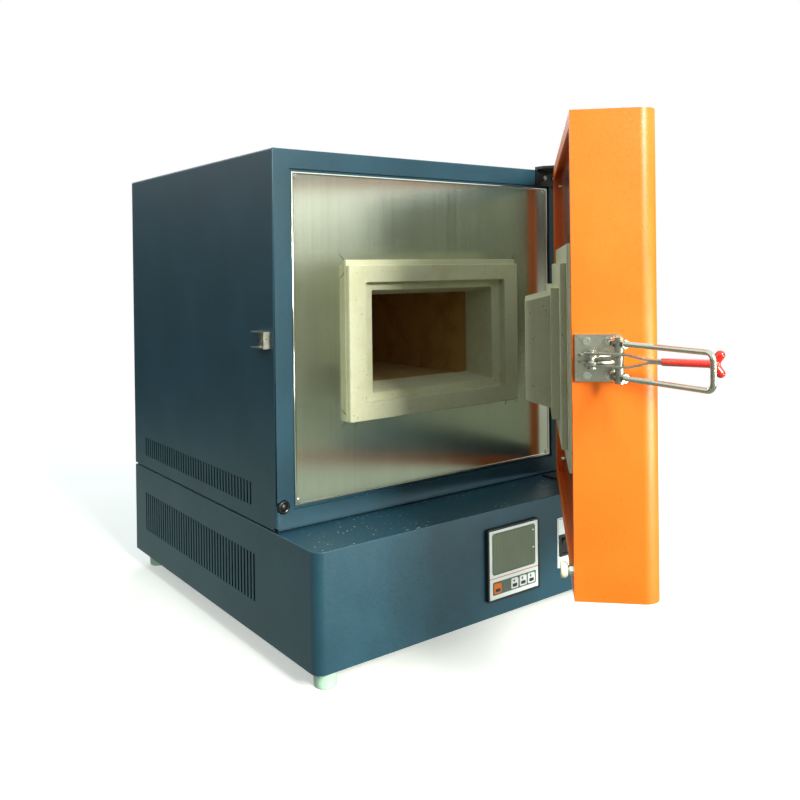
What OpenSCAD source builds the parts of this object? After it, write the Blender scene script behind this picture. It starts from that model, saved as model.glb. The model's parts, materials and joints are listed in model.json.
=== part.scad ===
// Bench-top chamber kiln with a side-hung insulated door.
// X runs across the front, Y runs into the kiln, Z is up.
// The origin is the middle of the four feet, on the plane that they stand on.

/* [Case] */
// Width of the base and of the upper body
body_w = 508; // [480:2:560]
// Depth of the upper body
body_d = 486; // [470:2:560]
// Height of the upper body
body_h = 468.5; // [460:0.5:520]
// Height of the control base
base_h = 141; // [135:1:170]
// How far the base stands out in front of the upper body
ledge = 92; // [90:1:120]
// Height of the dark seam between the base and the upper body
seam_h = 1.5; // [1:0.5:4]
// Height of a foot
foot_h = 25; // [15:1:40]
// Thickness of the painted sheet
sheet = 1.5; // [1:0.1:2]
// Radius of the base's upright front corners
base_r = 14; // [6:1:24]
// Width of the painted border round the front plate
bezel_w = 24; // [20:1:30]

/* [Cooling slots] */
// Distance from one slot to the next
slot_pitch = 9; // [8:0.5:9]
// Width of one slot
slot_w = 4.2; // [3:0.1:5]
// Number of slots in the upper row, on each side
upper_slots = 42; // [20:1:43]
// Number of slots in the lower row, on each side
lower_slots = 43; // [20:1:45]

/* [Mouth and chamber] */
// Gap between the border and the stainless front plate
plate_gap = 3.5; // [2:0.5:6]
// Height of the mouth's middle above the top of the base
mouth_up = 225; // [200:1:240]
// Outer width of the fibre mouth frame
mouth_w = 300; // [290:2:320]
// Outer height of the fibre mouth frame
mouth_h = 202; // [196:2:220]
// How far the mouth frame stands out of the front
mouth_proud = 10; // [8:0.5:11]
// Width of the stepped recess that the plug closes
rabbet_w = 246; // [244:1:256]
// Height of the stepped recess
rabbet_h = 156; // [152:1:166]
// Depth of the throat, from the front of the upper body to the chamber
throat_d = 52; // [46:1:60]
// Width of the heated chamber
chamber_w = 208; // [204:1:220]
// Height of the heated chamber
chamber_h = 128; // [124:1:140]
// Depth of the heated chamber
chamber_d = 300; // [260:5:300]
// Thickness of the chamber's own fibre boards
board_t = 40; // [30:1:44]

/* [Door] */
// Thickness of the door
door_t = 80; // [76:1:90]
// Gap between the shut door and the front of the upper body
door_gap = 17; // [16.6:0.1:20]
// How far the door stands open as drawn
door_open = 44.5; // [0:0.5:90]
// Distance of the hinge line from the right-hand side
hinge_inset = 17; // [15:1:22]
// Distance of the hinge line in front of the upper body
hinge_out = 54; // [50:1:60]
// Width of the lip round the door's inner side
lip_w = 14; // [13.5:0.5:16]
// Depth of the polished inner plate behind the lip
lip_d = 9.5; // [6:0.5:10]
// Width of the plug's nose at its tip
nose_w = 186; // [170:2:188]
// Height of the plug's nose at its tip
nose_h = 113; // [104:1:115]

/* [Latch] */
// Height of the latch above the top of the base
latch_up = 235; // [150:5:300]
// Length of the wire bail, from its cross bar to its end
bail_len = 105; // [100:1:110]
// Distance between the bail's two legs
bail_w = 31; // [30:0.5:34]
// Diameter of the bail's wire
bail_wire = 5; // [4:0.5:5.5]
// Angle of the handle off the door's edge, as drawn
handle_at = 18; // [0:1:30]
// Angle of the bail off the door's edge, as drawn
bail_at = 52; // [45:1:60]

/* [Controls] */
// Side of the square controller
meter_w = 96; // [96:1:100]
// Place of the controller's middle, across the front
meter_x = 51.5; // [0:0.5:80]
// Depth of the controller's middle below the top of the base
meter_down = 71; // [66:1:76]
// Place of the power switch's middle, across the front
switch_x = 155.5; // [130:0.5:200]

/* [Hidden] */
$fn = 48;

side_x = body_w / 2;
front_y = (ledge - body_d) / 2;      // front of the upper body in the kiln's frame
seam_z = foot_h + base_h;            // top of the base
body_z = seam_z + seam_h;            // underside of the upper body
top_z = body_z + body_h;
mouth_z = seam_z + mouth_up;
play = 0.05;                         // radial clearance of a running fit
touch = 0.02;                        // clearance of two fixed pieces

plate_t = 1.2;
plate_y = 2;                         // the front plate's face behind the border
plate_w = body_w - 2 * (bezel_w + plate_gap);
plate_h = body_h - 2 * (bezel_w + plate_gap);
plate_z = body_z + body_h / 2;
landing = 14;                        // flange that the front plate is screwed to
core_w = mouth_w - 10;               // the mouth frame behind its front flange
core_h = mouth_h - 10;
collar_t = 5;
collar_rise = 7;
rabbet_y = 1;                        // floor of the stepped recess
throat_w = 200;
throat_h = 120;
throat_flare = 14;

air_gap = 21;                        // cooling gap between the two shells
casing_x = side_x - air_gap;
casing_lo = body_z + 18;
casing_hi = top_z - 18;
casing_end = body_d - 28;
insul_y = 6;
rear_y = throat_d + chamber_d;       // back wall of the chamber
rear_board = 50;
outer_w = chamber_w + 2 * board_t;
outer_h = chamber_h + 2 * board_t;
element_r = 3;
element_x = chamber_w / 2 + 9;
tunnel_r = 3.6;
element_rows = [-42, -14, 14, 42];
element_y = [throat_d + 14, rear_y - 14];
tail_rows = [-42, 42];
probe_r = 4;
probe_up = 30;
vent_r = 9;
vent_bore = 6;
vent_x = 62;
vent_up = 36;

hinge_x = side_x - hinge_inset;
hinge_y = -hinge_out;
pin_r = 4;
bush_r = 7;
bush_len = 16;
bracket_t = 4;
ledge_plate_t = 3;
bracket_x = side_x - 54;             // inner end of the hinge brackets
door_lo = seam_z + 4.5;
door_hi = top_z - 1.5;
door_in = -door_gap;                 // plane of the door's inner rim
door_out = door_in - door_t;
door_r = 16;
door_sheet = 2;

board_w = 340;
board_h = 240;
slab_w = 300;
slab_h = 200;
slab_y = door_in + 6.5;
step_w = 238;
step_h = 145;
step_y = slab_y + 9;
nose_y = slab_y + 37.5;
nose_r = 14;

pusher_x = -side_x + 10.5;
pusher_z = seam_z + 31;
pusher_len = 12.3;                   // disc's face in front of the door's rim
button_out = 4.2;                    // the switch button in front of the border
button_r = 8.2;
button_stem = 5;
button_stroke = 3;

latch_z = seam_z + latch_up;
pivot = [17, 14];                    // latch frame: along the edge, off the edge
arm = 26;                            // from the handle's pin to the cross bar
arm_rise = 4.7;
latch_sheet = 2.5;
latch_plate = [42, 44.5];
latch_holes = [20, 32];
ear_in = 2.2;
ear_t = 2;
strap_t = 2;
strap_in = ear_in + ear_t + 0.4;
bar_r = 4;
bar_len = 42;
handle_len = 116;
grip_from = 62;
strap_end = 84;
keeper_h = 21;
keeper_t = 1.8;
keeper_out = 9.5;
shut_bar = [pivot[0] + arm * cos(arm_rise), pivot[1] + arm * sin(arm_rise)];
hook_out = 5.6;                      // the bail's end off the side when it is shut
bail_reach = sqrt(pow(bail_len, 2) - pow(shut_bar[1] - hook_out, 2)) - shut_bar[0];
bail_y = bail_reach - door_gap;      // the bail's end behind the front when it is shut
keeper_y = 9;
keeper_screws = [keeper_y + 7, keeper_y + 20];

meter_z = seam_z - meter_down;
base_front = -ledge;
key_y = base_front - 5.4;            // outer face of the controller's keys at rest
key_z = meter_z - 31.2;
key_h = 13.4;
key_w = 13;
key_stroke = 1;
key_t = 1.2;
key_at = [-30.6, 0.5, 16.2, 31.9];
rocker_tilt = 8.5;
switch_z = seam_z - 73;
legend = [30, 70];
legend_z = seam_z - 69;

foot_at = [for (x = [-1, 1], y = [base_front + 27, body_d - 27]) [x * (side_x - 27), y]];
plate_screws = [for (x = [-1, 1], z = [-1, 1]) [x * (plate_w / 2 - 6), plate_z + z * (plate_h / 2 - 6)]];
leaf_screws = [bracket_x + 16, bracket_x + 36];
body_rear_screws = [for (x = [-1, 1], z = [body_z + 12, top_z - 12]) [x * (side_x - 12), z]];
base_rear_screws = [for (x = [-1, 1], z = [foot_h + 14, seam_z - 14]) [x * (side_x - 12), z]];
latch_at = [for (x = [-1, 1], z = [-1, 1])
    [latch_plate[0] / 2 + 2.5 + x * latch_holes[0] / 2, z * latch_holes[1] / 2]];
door_screws = [for (x = [-1, 1], z = [door_lo + 26, door_hi - 26]) [x * (side_x - 24), z]];

// ---- helpers ----

// Everything below is drawn from the front plane of the upper body.
module at_front() { translate([0, front_y, 0]) children(); }

// The door's pieces are drawn shut and turned about the hinge line.
module at_door() {
    at_front() translate([hinge_x, hinge_y, 0]) rotate([0, 0, door_open])
        translate([-hinge_x, -hinge_y, 0]) children();
}

// Latch frame: X along the door's edge away from the kiln, Y off the edge.
module at_latch() {
    at_door() translate([-side_x, door_in, latch_z]) rotate([0, 0, -90])
        rotate([180, 0, 0]) children();
}

module at_handle() {
    at_latch() translate([pivot[0], pivot[1], 0]) rotate([0, 0, handle_at]) children();
}

module at_bail() {
    at_handle() rotate([0, 0, arm_rise]) translate([arm, 0, 0])
        rotate([0, 0, bail_at - handle_at - arm_rise]) children();
}

module slab(x0, x1, y0, y1, z0, z1) {
    translate([x0, y0, z0]) cube([x1 - x0, y1 - y0, z1 - z0]);
}

// A box centred across the kiln and on the height z.
module block(w, h, y0, y1, z) { slab(-w / 2, w / 2, y0, y1, z - h / 2, z + h / 2); }

// A flat outline in X and Z, standing from y0 and t thick.
module stand(y0, t) { translate([0, y0 + t, 0]) rotate([90, 0, 0]) linear_extrude(t) children(); }

// A round bar along Y.
module bar_y(x, z, r, y0, y1) {
    translate([x, y0, z]) rotate([-90, 0, 0]) cylinder(r = r, h = y1 - y0);
}

module rounded(w, h, r) {
    square([w - 2 * r, h], center = true);
    square([w, h - 2 * r], center = true);
    for (x = [-1, 1], y = [-1, 1]) translate([x * (w / 2 - r), y * (h / 2 - r)]) circle(r);
}

// A plan with two round corners towards the front.
module front_round(w, y0, y1, r) {
    translate([-w / 2, y0 + r]) square([w, y1 - y0 - r]);
    translate([-w / 2 + r, y0]) square([w - 2 * r, r + 1]);
    for (x = [-1, 1]) translate([x * (w / 2 - r), y0 + r]) circle(r);
}

// A box whose width and height change evenly from y0 to y1.
module frustum(w0, h0, w1, h1, y0, y1) {
    intersection() {
        translate([0, 0, mouth_z - h0]) linear_extrude(2 * h0)
            polygon([[-w0 / 2, y0], [w0 / 2, y0], [w1 / 2, y1], [-w1 / 2, y1]]);
        translate([-w0, 0, mouth_z]) rotate([90, 0, 90]) linear_extrude(2 * w0)
            polygon([[y0, -h0 / 2], [y0, h0 / 2], [y1, h1 / 2], [y1, -h1 / 2]]);
    }
}

// Cooling slots cut through both sides at once.
module side_slots(count, y0, z0, z1) {
    for (i = [0:count - 1])
        slab(-side_x - 1, side_x + 1, y0 + i * slot_pitch, y0 + i * slot_pitch + slot_w, z0, z1);
}

// A pan-head screw along +Y: the head's underside is at y.
module screw_y(x, z, y, head_r, head_h, shank_r, shank) {
    bar_y(x, z, head_r, y - head_h, y);
    bar_y(x, z, shank_r, y, y + shank);
}

// ---- control base ----

module base_housing() {
    color("#2f4a56") at_front() difference() {
        translate([0, 0, foot_h]) linear_extrude(base_h)
            front_round(body_w, base_front, body_d, base_r);
        translate([0, 0, foot_h - 1]) linear_extrude(base_h - sheet + 1)
            front_round(body_w - 2 * sheet, base_front + sheet, body_d + 1, base_r - sheet);
        side_slots(lower_slots, 58, seam_z - 100, seam_z - 39);
        translate([meter_x, 0, meter_z]) block(91, 91, base_front - 1, base_front + sheet + 1, 0);
        translate([switch_x, 0, switch_z]) block(21, 27, base_front - 1, base_front + sheet + 1, 0);
        for (x = leaf_screws)
            translate([x, hinge_y + 30, seam_z - sheet - 1]) cylinder(r = 2.1, h = sheet + 2);
    }
}

module base_floor() {
    color("#33363a") at_front() difference() {
        translate([0, 0, foot_h]) linear_extrude(sheet)
            front_round(body_w - 2 * sheet - 0.4, base_front + sheet + 0.2, body_d - sheet - 0.2,
                base_r - sheet);
        for (p = foot_at) translate([p[0], p[1], foot_h - 1]) cylinder(r = 2.6, h = sheet + 2);
    }
}

module base_rear_panel() {
    color("#2f4a56") at_front() difference() {
        slab(-side_x + sheet + 0.2, side_x - sheet - 0.2, body_d - sheet, body_d,
            foot_h + 0.2, seam_z - sheet - 0.2);
        for (i = [0:11]) slab(-60 + i * 10, -56 + i * 10, body_d - 5, body_d + 5,
            foot_h + 40, foot_h + 100);
        bar_y(-170, foot_h + 40, 8.1, body_d - 5, body_d + 5);
        for (p = base_rear_screws) bar_y(p[0], p[1], 2.1, body_d - 5, body_d + 5);
    }
}

module seam_strip() {
    color("#0c0f11") at_front() difference() {
        slab(-side_x + 3, side_x - 3, 3, body_d - 3, seam_z, body_z);
        slab(-side_x + 40, side_x - 40, 40, body_d - 40, seam_z - 1, body_z + 1);
    }
}

module feet() {
    color("#dfe7dc") at_front() for (p = foot_at) translate([p[0], p[1], 0]) difference() {
        cylinder(r1 = 13.4, r2 = 15, h = foot_h);
        translate([0, 0, -1]) cylinder(r = 7, h = 13);
        cylinder(r = 2.6, h = foot_h + 1);
    }
}

module cable_gland() {
    color("#1b1c1e") at_front() difference() {
        union() {
            bar_y(-170, foot_h + 40, 8, body_d - 14, body_d + 10);
            bar_y(-170, foot_h + 40, 12, body_d, body_d + 5);
            bar_y(-170, foot_h + 40, 10, body_d + 5, body_d + 18);
        }
        bar_y(-170, foot_h + 40, 4.5, body_d - 15, body_d + 19);
    }
}

// ---- upper body ----

module body_shell() {
    color("#2f4a56") at_front() difference() {
        translate([0, 0, plate_z]) stand(0, body_d) rounded(body_w, body_h, 3);
        block(body_w - 2 * sheet, body_h - 2 * sheet, plate_y + plate_t + sheet, body_d + 1, plate_z);
        block(body_w - 2 * bezel_w, body_h - 2 * bezel_w, -1, plate_y + plate_t, plate_z);
        block(plate_w - 2 * landing, plate_h - 2 * landing, -1, 10, plate_z);
        side_slots(upper_slots, 65, seam_z + 21.5, seam_z + 51);
        for (p = plate_screws) bar_y(p[0], p[1], 1.6, 0, 10);
        bar_y(pusher_x, pusher_z, button_r + 0.4, -1, 10);
        for (x = leaf_screws) bar_y(x, top_z - 12.5, 2.1, -1, 10);
        for (y = keeper_screws) translate([-side_x - 1, y, latch_z]) rotate([0, 90, 0])
            cylinder(r = 2.1, h = sheet + 2);
    }
}

module body_rear_panel() {
    color("#2f4a56") at_front() difference() {
        block(body_w - 2 * sheet - 0.4, body_h - 2 * sheet - 0.4, body_d - sheet, body_d, plate_z);
        for (i = [0:23], z = [body_z + 30, top_z - 70])
            slab(-117 + i * 10, -113 + i * 10, body_d - 5, body_d + 5, z, z + 40);
        bar_y(0, mouth_z + probe_up, probe_r + 0.5, body_d - 5, body_d + 5);
        bar_y(vent_x, mouth_z + vent_up, vent_r + 0.3, body_d - 5, body_d + 5);
        for (p = body_rear_screws) bar_y(p[0], p[1], 2.1, body_d - 5, body_d + 5);
    }
}

module case_screws() {
    color("silver") at_front() {
        for (p = concat(body_rear_screws, base_rear_screws)) {
            bar_y(p[0], p[1], 3.8, body_d, body_d + 2.4);
            bar_y(p[0], p[1], 2, body_d - 8, body_d);
        }
        for (p = foot_at) translate([p[0], p[1], 0]) {
            translate([0, 0, 8.5]) cylinder(r = 4.4, h = 3.5);
            translate([0, 0, 12]) cylinder(r = 2.5, h = foot_h - 5);
        }
    }
}

module front_plate() {
    color("#c9cbc6") at_front() difference() {
        block(plate_w, plate_h, plate_y, plate_y + plate_t, plate_z);
        block(core_w + 0.6, core_h + 0.6, -1, 10, mouth_z);
        for (x = [-1, 1], z = [-1, 1]) translate([x * core_w / 2, 0, mouth_z + z * core_h / 2])
            rotate([0, x * z * 45, 0]) block(34, 1.2, -1, 10, 0);
        for (p = plate_screws) bar_y(p[0], p[1], 1.6, 0, 10);
    }
}

module front_screws() {
    color("silver") at_front() {
        for (p = plate_screws) screw_y(p[0], p[1], plate_y, 2.9, 1.4, 1.5, 3.7);
        for (x = leaf_screws) screw_y(x, top_z - 12.5, -bracket_t, 3.6, 2.1, 2, 12);
        for (y = keeper_screws) translate([-side_x, y, latch_z]) rotate([0, 90, 0]) {
            translate([0, 0, -keeper_t - 2]) cylinder(r = 3.6, h = 2);
            translate([0, 0, -keeper_t]) cylinder(r = 2, h = 9);
        }
        for (x = leaf_screws) translate([x, hinge_y + 30, seam_z - 6]) {
            cylinder(r = 2, h = 6 + ledge_plate_t - 1.8);
            translate([0, 0, 6 + ledge_plate_t - 1.8]) cylinder(r1 = 2, r2 = 3.8, h = 1.8);
        }
    }
}

module mouth_collar() {
    color("#d8d3b4") at_front() difference() {
        slab(-mouth_w / 2, mouth_w / 2, plate_y - collar_t, plate_y,
            mouth_z - mouth_h / 2, mouth_z + mouth_h / 2 + collar_rise);
        block(core_w, core_h, -10, 10, mouth_z);
    }
}

module mouth_frame() {
    color("#e6e0c0") at_front() difference() {
        union() {
            block(mouth_w, mouth_h, -mouth_proud, plate_y - collar_t, mouth_z);
            block(core_w, core_h, -mouth_proud + 1, throat_d, mouth_z);
        }
        block(rabbet_w, rabbet_h, -mouth_proud - 1, rabbet_y, mouth_z);
        frustum(throat_w + throat_flare, throat_h + throat_flare + 1, throat_w, throat_h,
            rabbet_y, throat_d + 0.01);
    }
}

module inner_casing() {
    color("#9a9d9c") at_front() difference() {
        slab(-casing_x, casing_x, insul_y, casing_end, casing_lo, casing_hi);
        slab(-casing_x + 1.2, casing_x - 1.2, insul_y - 1, casing_end - 1.2,
            casing_lo + 1.2, casing_hi - 1.2);
        rear_holes(1);
    }
    color("#9a9d9c") at_front() for (x = [-1, 1], y = [60, body_d - 80])
        translate([x * 180, y, body_z + sheet]) cylinder(r = 10, h = casing_lo - body_z - sheet);
}

// Holes through everything behind the chamber.
module rear_holes(extra) {
    bar_y(0, mouth_z + probe_up, probe_r + 0.3 * extra, rear_y - 10, body_d);
    bar_y(vent_x, mouth_z + vent_up, vent_r + 0.2 * extra, rear_y - 10, body_d);
    for (x = [-1, 1], z = tail_rows)
        bar_y(x * element_x, mouth_z + z, element_r + 0.4 * extra, rear_y - 10, body_d - 4);
}

module insulation_boards() {
    inner = casing_x - 1.2 - touch;
    lo = casing_lo + 1.2 + touch;
    hi = casing_hi - 1.2 - touch;
    end = casing_end - 1.2 - touch;
    back = rear_y + rear_board;
    color("#e9e6da") at_front() {
        difference() {
            slab(-inner, inner, insul_y, throat_d, lo, hi);
            block(core_w + 2 * touch, core_h + 2 * touch, 0, throat_d + 1, mouth_z);
        }
        for (x = [-1, 1]) mirror([x > 0 ? 1 : 0, 0, 0])
            slab(-inner, -outer_w / 2 - touch, throat_d + touch, back, lo, hi);
        slab(-outer_w / 2, outer_w / 2, throat_d + touch, back, mouth_z + outer_h / 2 + touch, hi);
        slab(-outer_w / 2, outer_w / 2, throat_d + touch, back, lo, mouth_z - outer_h / 2 - touch);
        difference() {
            slab(-inner, inner, back + touch, end, lo, hi);
            rear_holes(1);
        }
    }
}

// One side board. The heating element lies in a closed tunnel, cast in behind a smooth wall.
module chamber_side() {
    difference() {
        slab(chamber_w / 2, outer_w / 2, throat_d + touch, rear_y - touch,
            mouth_z - outer_h / 2, mouth_z + outer_h / 2);
        for (z = element_rows)
            bar_y(element_x, mouth_z + z, tunnel_r, element_y[0] - tunnel_r, rear_y + 1);
        for (i = [0:2]) translate([element_x, element_y[i % 2], mouth_z + element_rows[i]])
            cylinder(r = tunnel_r, h = element_rows[i + 1] - element_rows[i]);
    }
}

module chamber_right() { color("#b08a5a") at_front() chamber_side(); }

module chamber_left() { color("#b08a5a") at_front() mirror([1, 0, 0]) chamber_side(); }

module chamber_roof() {
    color("#b08a5a") at_front() slab(-chamber_w / 2 + touch, chamber_w / 2 - touch,
        throat_d + touch, rear_y - touch, mouth_z + chamber_h / 2, mouth_z + outer_h / 2);
}

module chamber_floor() {
    color("#b08a5a") at_front() slab(-chamber_w / 2 + touch, chamber_w / 2 - touch,
        throat_d + touch, rear_y - touch, mouth_z - outer_h / 2, mouth_z - chamber_h / 2);
}

module chamber_rear() {
    color("#b08a5a") at_front() difference() {
        block(outer_w, outer_h, rear_y, rear_y + rear_board - touch, mouth_z);
        rear_holes(1);
    }
}

// Two serpentine elements: rows along Y, joined at alternate ends.
module heating_elements() {
    color("#5a5048") at_front() for (x = [-1, 1]) {
        for (z = element_rows) bar_y(x * element_x, mouth_z + z, element_r, element_y[0], element_y[1]);
        for (i = [0:2]) translate([x * element_x, element_y[i % 2], mouth_z + element_rows[i]])
            cylinder(r = element_r, h = element_rows[i + 1] - element_rows[i]);
        for (z = tail_rows) bar_y(x * element_x, mouth_z + z, element_r, element_y[1] - 1, body_d - 12);
        for (i = [0, 1, 2, 3], y = element_y) translate([x * element_x, y, mouth_z + element_rows[i]])
            sphere(element_r);
    }
}

module thermocouple() {
    color("#e8e4dc") at_front() {
        bar_y(0, mouth_z + probe_up, probe_r, rear_y - 30, body_d + 1);
        bar_y(0, mouth_z + probe_up, 15, body_d + 1, body_d + 17);
        bar_y(0, mouth_z + probe_up, 11, body_d + 17, body_d + 22);
    }
}

module vent_tube() {
    color("#e8e4dc") at_front() difference() {
        bar_y(vent_x, mouth_z + vent_up, vent_r, rear_y + 2, body_d + 16);
        bar_y(vent_x, mouth_z + vent_up, vent_bore, rear_y + 1, body_d + 17);
    }
}

// Folded plate: two flanges with hooked rear ends, joined across the front.
module keeper() {
    hook = bail_y - bail_wire / 2 - 0.8;
    color("#c4c6c2") at_front() translate([-side_x, 0, latch_z]) rotate([0, 0, 180])
        mirror([0, 1, 0]) difference() {
            union() {
                slab(0, keeper_t, keeper_y, hook - 6, -keeper_h / 2, keeper_h / 2);
                slab(0, keeper_out, keeper_y, keeper_y + keeper_t, -keeper_h / 2, keeper_h / 2);
                for (z = [-1, 1]) translate([0, 0, z * (keeper_h / 2 - keeper_t / 2) - keeper_t / 2])
                    linear_extrude(keeper_t) polygon([[0, keeper_y], [keeper_out, keeper_y],
                        [keeper_out, hook + 1.2], [hook_out + 3.3, hook + 1.2], [hook_out, hook],
                        [1, hook], [0, hook - 6]]);
            }
            for (y = keeper_screws) translate([-1, y, 0]) rotate([0, 90, 0])
                cylinder(r = 2.05, h = keeper_t + 2);
        }
}

// The switch behind the border, with a pocket for the button's head.
module door_switch_body() {
    color("#1d1f21") at_front() difference() {
        slab(-side_x + sheet + touch, pusher_x + 9.3, plate_y + plate_t + sheet + touch, 36,
            pusher_z - 14, pusher_z + 14);
        bar_y(pusher_x, pusher_z, button_r + 0.4, 0, 8.3);
        bar_y(pusher_x, pusher_z, button_stem + 0.4, 0, 24);
    }
}

module block_at(x, z, w, h, y0, y1) { slab(x - w / 2, x + w / 2, y0, y1, z - h / 2, z + h / 2); }

// A domed head on a stem; it slides into the border when the door shuts.
module door_switch_button() {
    color("#141516") at_front() {
        bar_y(pusher_x, pusher_z, button_stem, 3, 18);
        bar_y(pusher_x, pusher_z, button_r, -button_out + 2.2, 8.1 - button_stroke);
        translate([pusher_x, -button_out, pusher_z]) rotate([-90, 0, 0])
            cylinder(r1 = button_r - 3, r2 = button_r, h = 2.2);
    }
}

// ---- hinges ----

module hinge_bracket_top() {
    color("#191b1d") at_front() difference() {
        union() {
            slab(bracket_x, side_x - 3, -bracket_t, 0, top_z - 25, top_z);
            translate([0, 0, top_z]) linear_extrude(bracket_t) hinge_flange();
        }
        translate([hinge_x, hinge_y, top_z - 1]) cylinder(r = pin_r + touch, h = 10);
        for (x = leaf_screws) bar_y(x, top_z - 12.5, 2.05, -10, 1);
    }
}

module hinge_flange() {
    polygon([[bracket_x, 0], [bracket_x, -16], [hinge_x - 11, hinge_y], [hinge_x + 11, hinge_y],
        [side_x - 3, -16], [side_x - 3, 0]]);
    translate([hinge_x, hinge_y]) circle(11);
}

module hinge_bracket_bottom() {
    color("#191b1d") at_front() difference() {
        translate([0, 0, seam_z]) linear_extrude(ledge_plate_t) {
            polygon([[bracket_x, -8], [bracket_x, -33], [hinge_x - 11, hinge_y],
                [hinge_x + 11, hinge_y], [side_x - 3, -33], [side_x - 3, -8]]);
            translate([hinge_x, hinge_y]) circle(11);
        }
        translate([hinge_x, hinge_y, seam_z - 1]) cylinder(r = pin_r + touch, h = 10);
        for (x = leaf_screws) translate([x, hinge_y + 30, seam_z]) {
            translate([0, 0, -1]) cylinder(r = 2.1, h = 10);
            translate([0, 0, ledge_plate_t - 1.8]) cylinder(r1 = 2.05, r2 = 3.9, h = 1.81);
        }
    }
}

module hinge_pins() {
    color("silver") at_front() translate([hinge_x, hinge_y, 0]) {
        translate([0, 0, door_hi - 13]) cylinder(r = pin_r, h = top_z + bracket_t + 0.5 - door_hi + 13);
        translate([0, 0, seam_z]) cylinder(r = pin_r, h = door_lo + 13 - seam_z);
    }
}

// ---- controls ----

module controller_case() {
    color("#16181a") at_front() translate([meter_x, 0, 0])
        block(90, 90, base_front + 0.2, base_front + 72, meter_z);
}

module controller_bezel() {
    color("#101213") at_front() translate([meter_x, 0, meter_z]) difference() {
        stand(base_front - 6, 6) rounded(meter_w, meter_w, 3);
        block(91, 91, base_front - 7, base_front - 2, 0);
    }
}

module controller_face() {
    color("#eef2f0") at_front() translate([meter_x, 0, 0]) difference() {
        block(90.6, 90.6, base_front - 5, base_front - 2, meter_z);
        block(79.4, 54.4, base_front - 6, base_front - 4, meter_z + 14);
        for (x = key_at) block_at(x, key_z, key_w + 0.7, key_h + 0.7,
            base_front - 6, key_y + key_t + key_stroke + 0.1);
    }
}

module display_window() {
    color("#717a68") at_front() translate([meter_x, 0, 0])
        block(79, 54, base_front - 5.2, base_front - 4, meter_z + 14);
}

// One square key of the controller, dx from its middle.
module key(dx) {
    at_front() translate([meter_x + dx, 0, key_z]) stand(key_y, key_t) rounded(key_w, key_h, 1.8);
}

module button_set() { color("#ff8a2a") key(key_at[0]); }

module button_left() { color("white") key(key_at[1]); }

module button_down() { color("white") key(key_at[2]); }

module button_up() { color("white") key(key_at[3]); }

module legend_plate() {
    color("#eef0f0") at_front() translate([switch_x, 0, 0]) difference() {
        translate([0, 0, legend_z]) stand(base_front - 1, 1) rounded(legend[0], legend[1], 1.5);
        block(21, 27, base_front - 2, base_front + 1, switch_z);
    }
}

module switch_frame() {
    color("#121314") at_front() translate([switch_x, 0, switch_z]) difference() {
        union() {
            stand(base_front - 3.4, 2.4) rounded(24.5, 30.5, 1.5);
            block(20.6, 26.6, base_front - 1.2, base_front + 22, 0);
        }
        block(17, 23, base_front - 4, base_front + 12, 0);
        translate([-9.7, base_front + 2, 0]) rotate([0, 90, 0]) cylinder(r = 1.5 + play, h = 19.4);
    }
}

// The rocker turns about its middle; its face is two flats that meet there.
module power_rocker() {
    color("#1a1b1c") at_front() translate([switch_x, base_front + 2, switch_z])
        rotate([rocker_tilt, 0, 0]) rotate([90, 0, 90]) {
            translate([0, 0, -7.9]) linear_extrude(15.8)
                polygon([[-4.6, 0], [-6.2, 10], [4.5, 9], [7, 0], [4.5, -9], [-6.2, -10]]);
            translate([0, 0, -9.5]) cylinder(r = 1.5, h = 19);
        }
}

module power_regulator() {
    color("#3c3f42") at_front() {
        slab(-180, -130, 200, 300, foot_h + sheet + touch, foot_h + 30);
        for (i = [0:6]) slab(-180 + i * 8, -178 + i * 8, 200, 300, foot_h + 29.9, foot_h + 62);
    }
}

module terminal_block() {
    color("#d8d8d2") at_front() difference() {
        slab(40, 130, 330, 358, foot_h + sheet + touch, foot_h + 30);
        for (i = [0:5]) slab(44 + i * 14.5, 54 + i * 14.5, 326, 340, foot_h + 16, foot_h + 32);
    }
}

// ---- door ----

module door_shell() {
    color("#ff8a2c") at_door() difference() {
        translate([0, 0, door_lo]) linear_extrude(door_hi - door_lo)
            front_round(body_w, door_out, door_in, door_r);
        translate([0, 0, door_lo + door_sheet]) linear_extrude(door_hi - door_lo - 2 * door_sheet)
            front_round(body_w - 2 * door_sheet, door_out + door_sheet, door_in - door_sheet,
                door_r - door_sheet);
        slab(-side_x + lip_w, side_x - lip_w, door_in - 3, door_in + 1, door_lo + lip_w, door_hi - lip_w);
        translate([hinge_x, hinge_y, door_lo - 1]) cylinder(r = bush_r + touch, h = door_hi - door_lo + 2);
        bar_y(pusher_x, pusher_z, 2.6, door_in - 5, door_in + 1);
        for (x = [-1, 1], z = [-1, 1]) translate([-side_x - 1,
            door_in - latch_plate[0] / 2 - 2.5 + x * latch_holes[0] / 2, latch_z + z * latch_holes[1] / 2])
            rotate([0, 90, 0]) cylinder(r = 2.1, h = door_sheet + 2);
    }
}

module door_plate() {
    color("#d4d6d2") at_door() difference() {
        slab(-side_x + door_sheet + 0.2, side_x - door_sheet - 0.2, door_in - lip_d - plate_t,
            door_in - lip_d, door_lo + door_sheet + 0.2, door_hi - door_sheet - 0.2);
        for (p = door_screws) bar_y(p[0], p[1], 2.05, door_in - 20, door_in);
        bar_y(pusher_x, pusher_z, 2.6, door_in - 20, door_in);
    }
}

module door_plate_screws() {
    color("silver") at_door() for (p = door_screws) {
        bar_y(p[0], p[1], 3.7, door_in - lip_d, door_in - lip_d + 2.2);
        bar_y(p[0], p[1], 2, door_in - lip_d - 10, door_in - lip_d);
    }
}

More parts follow.
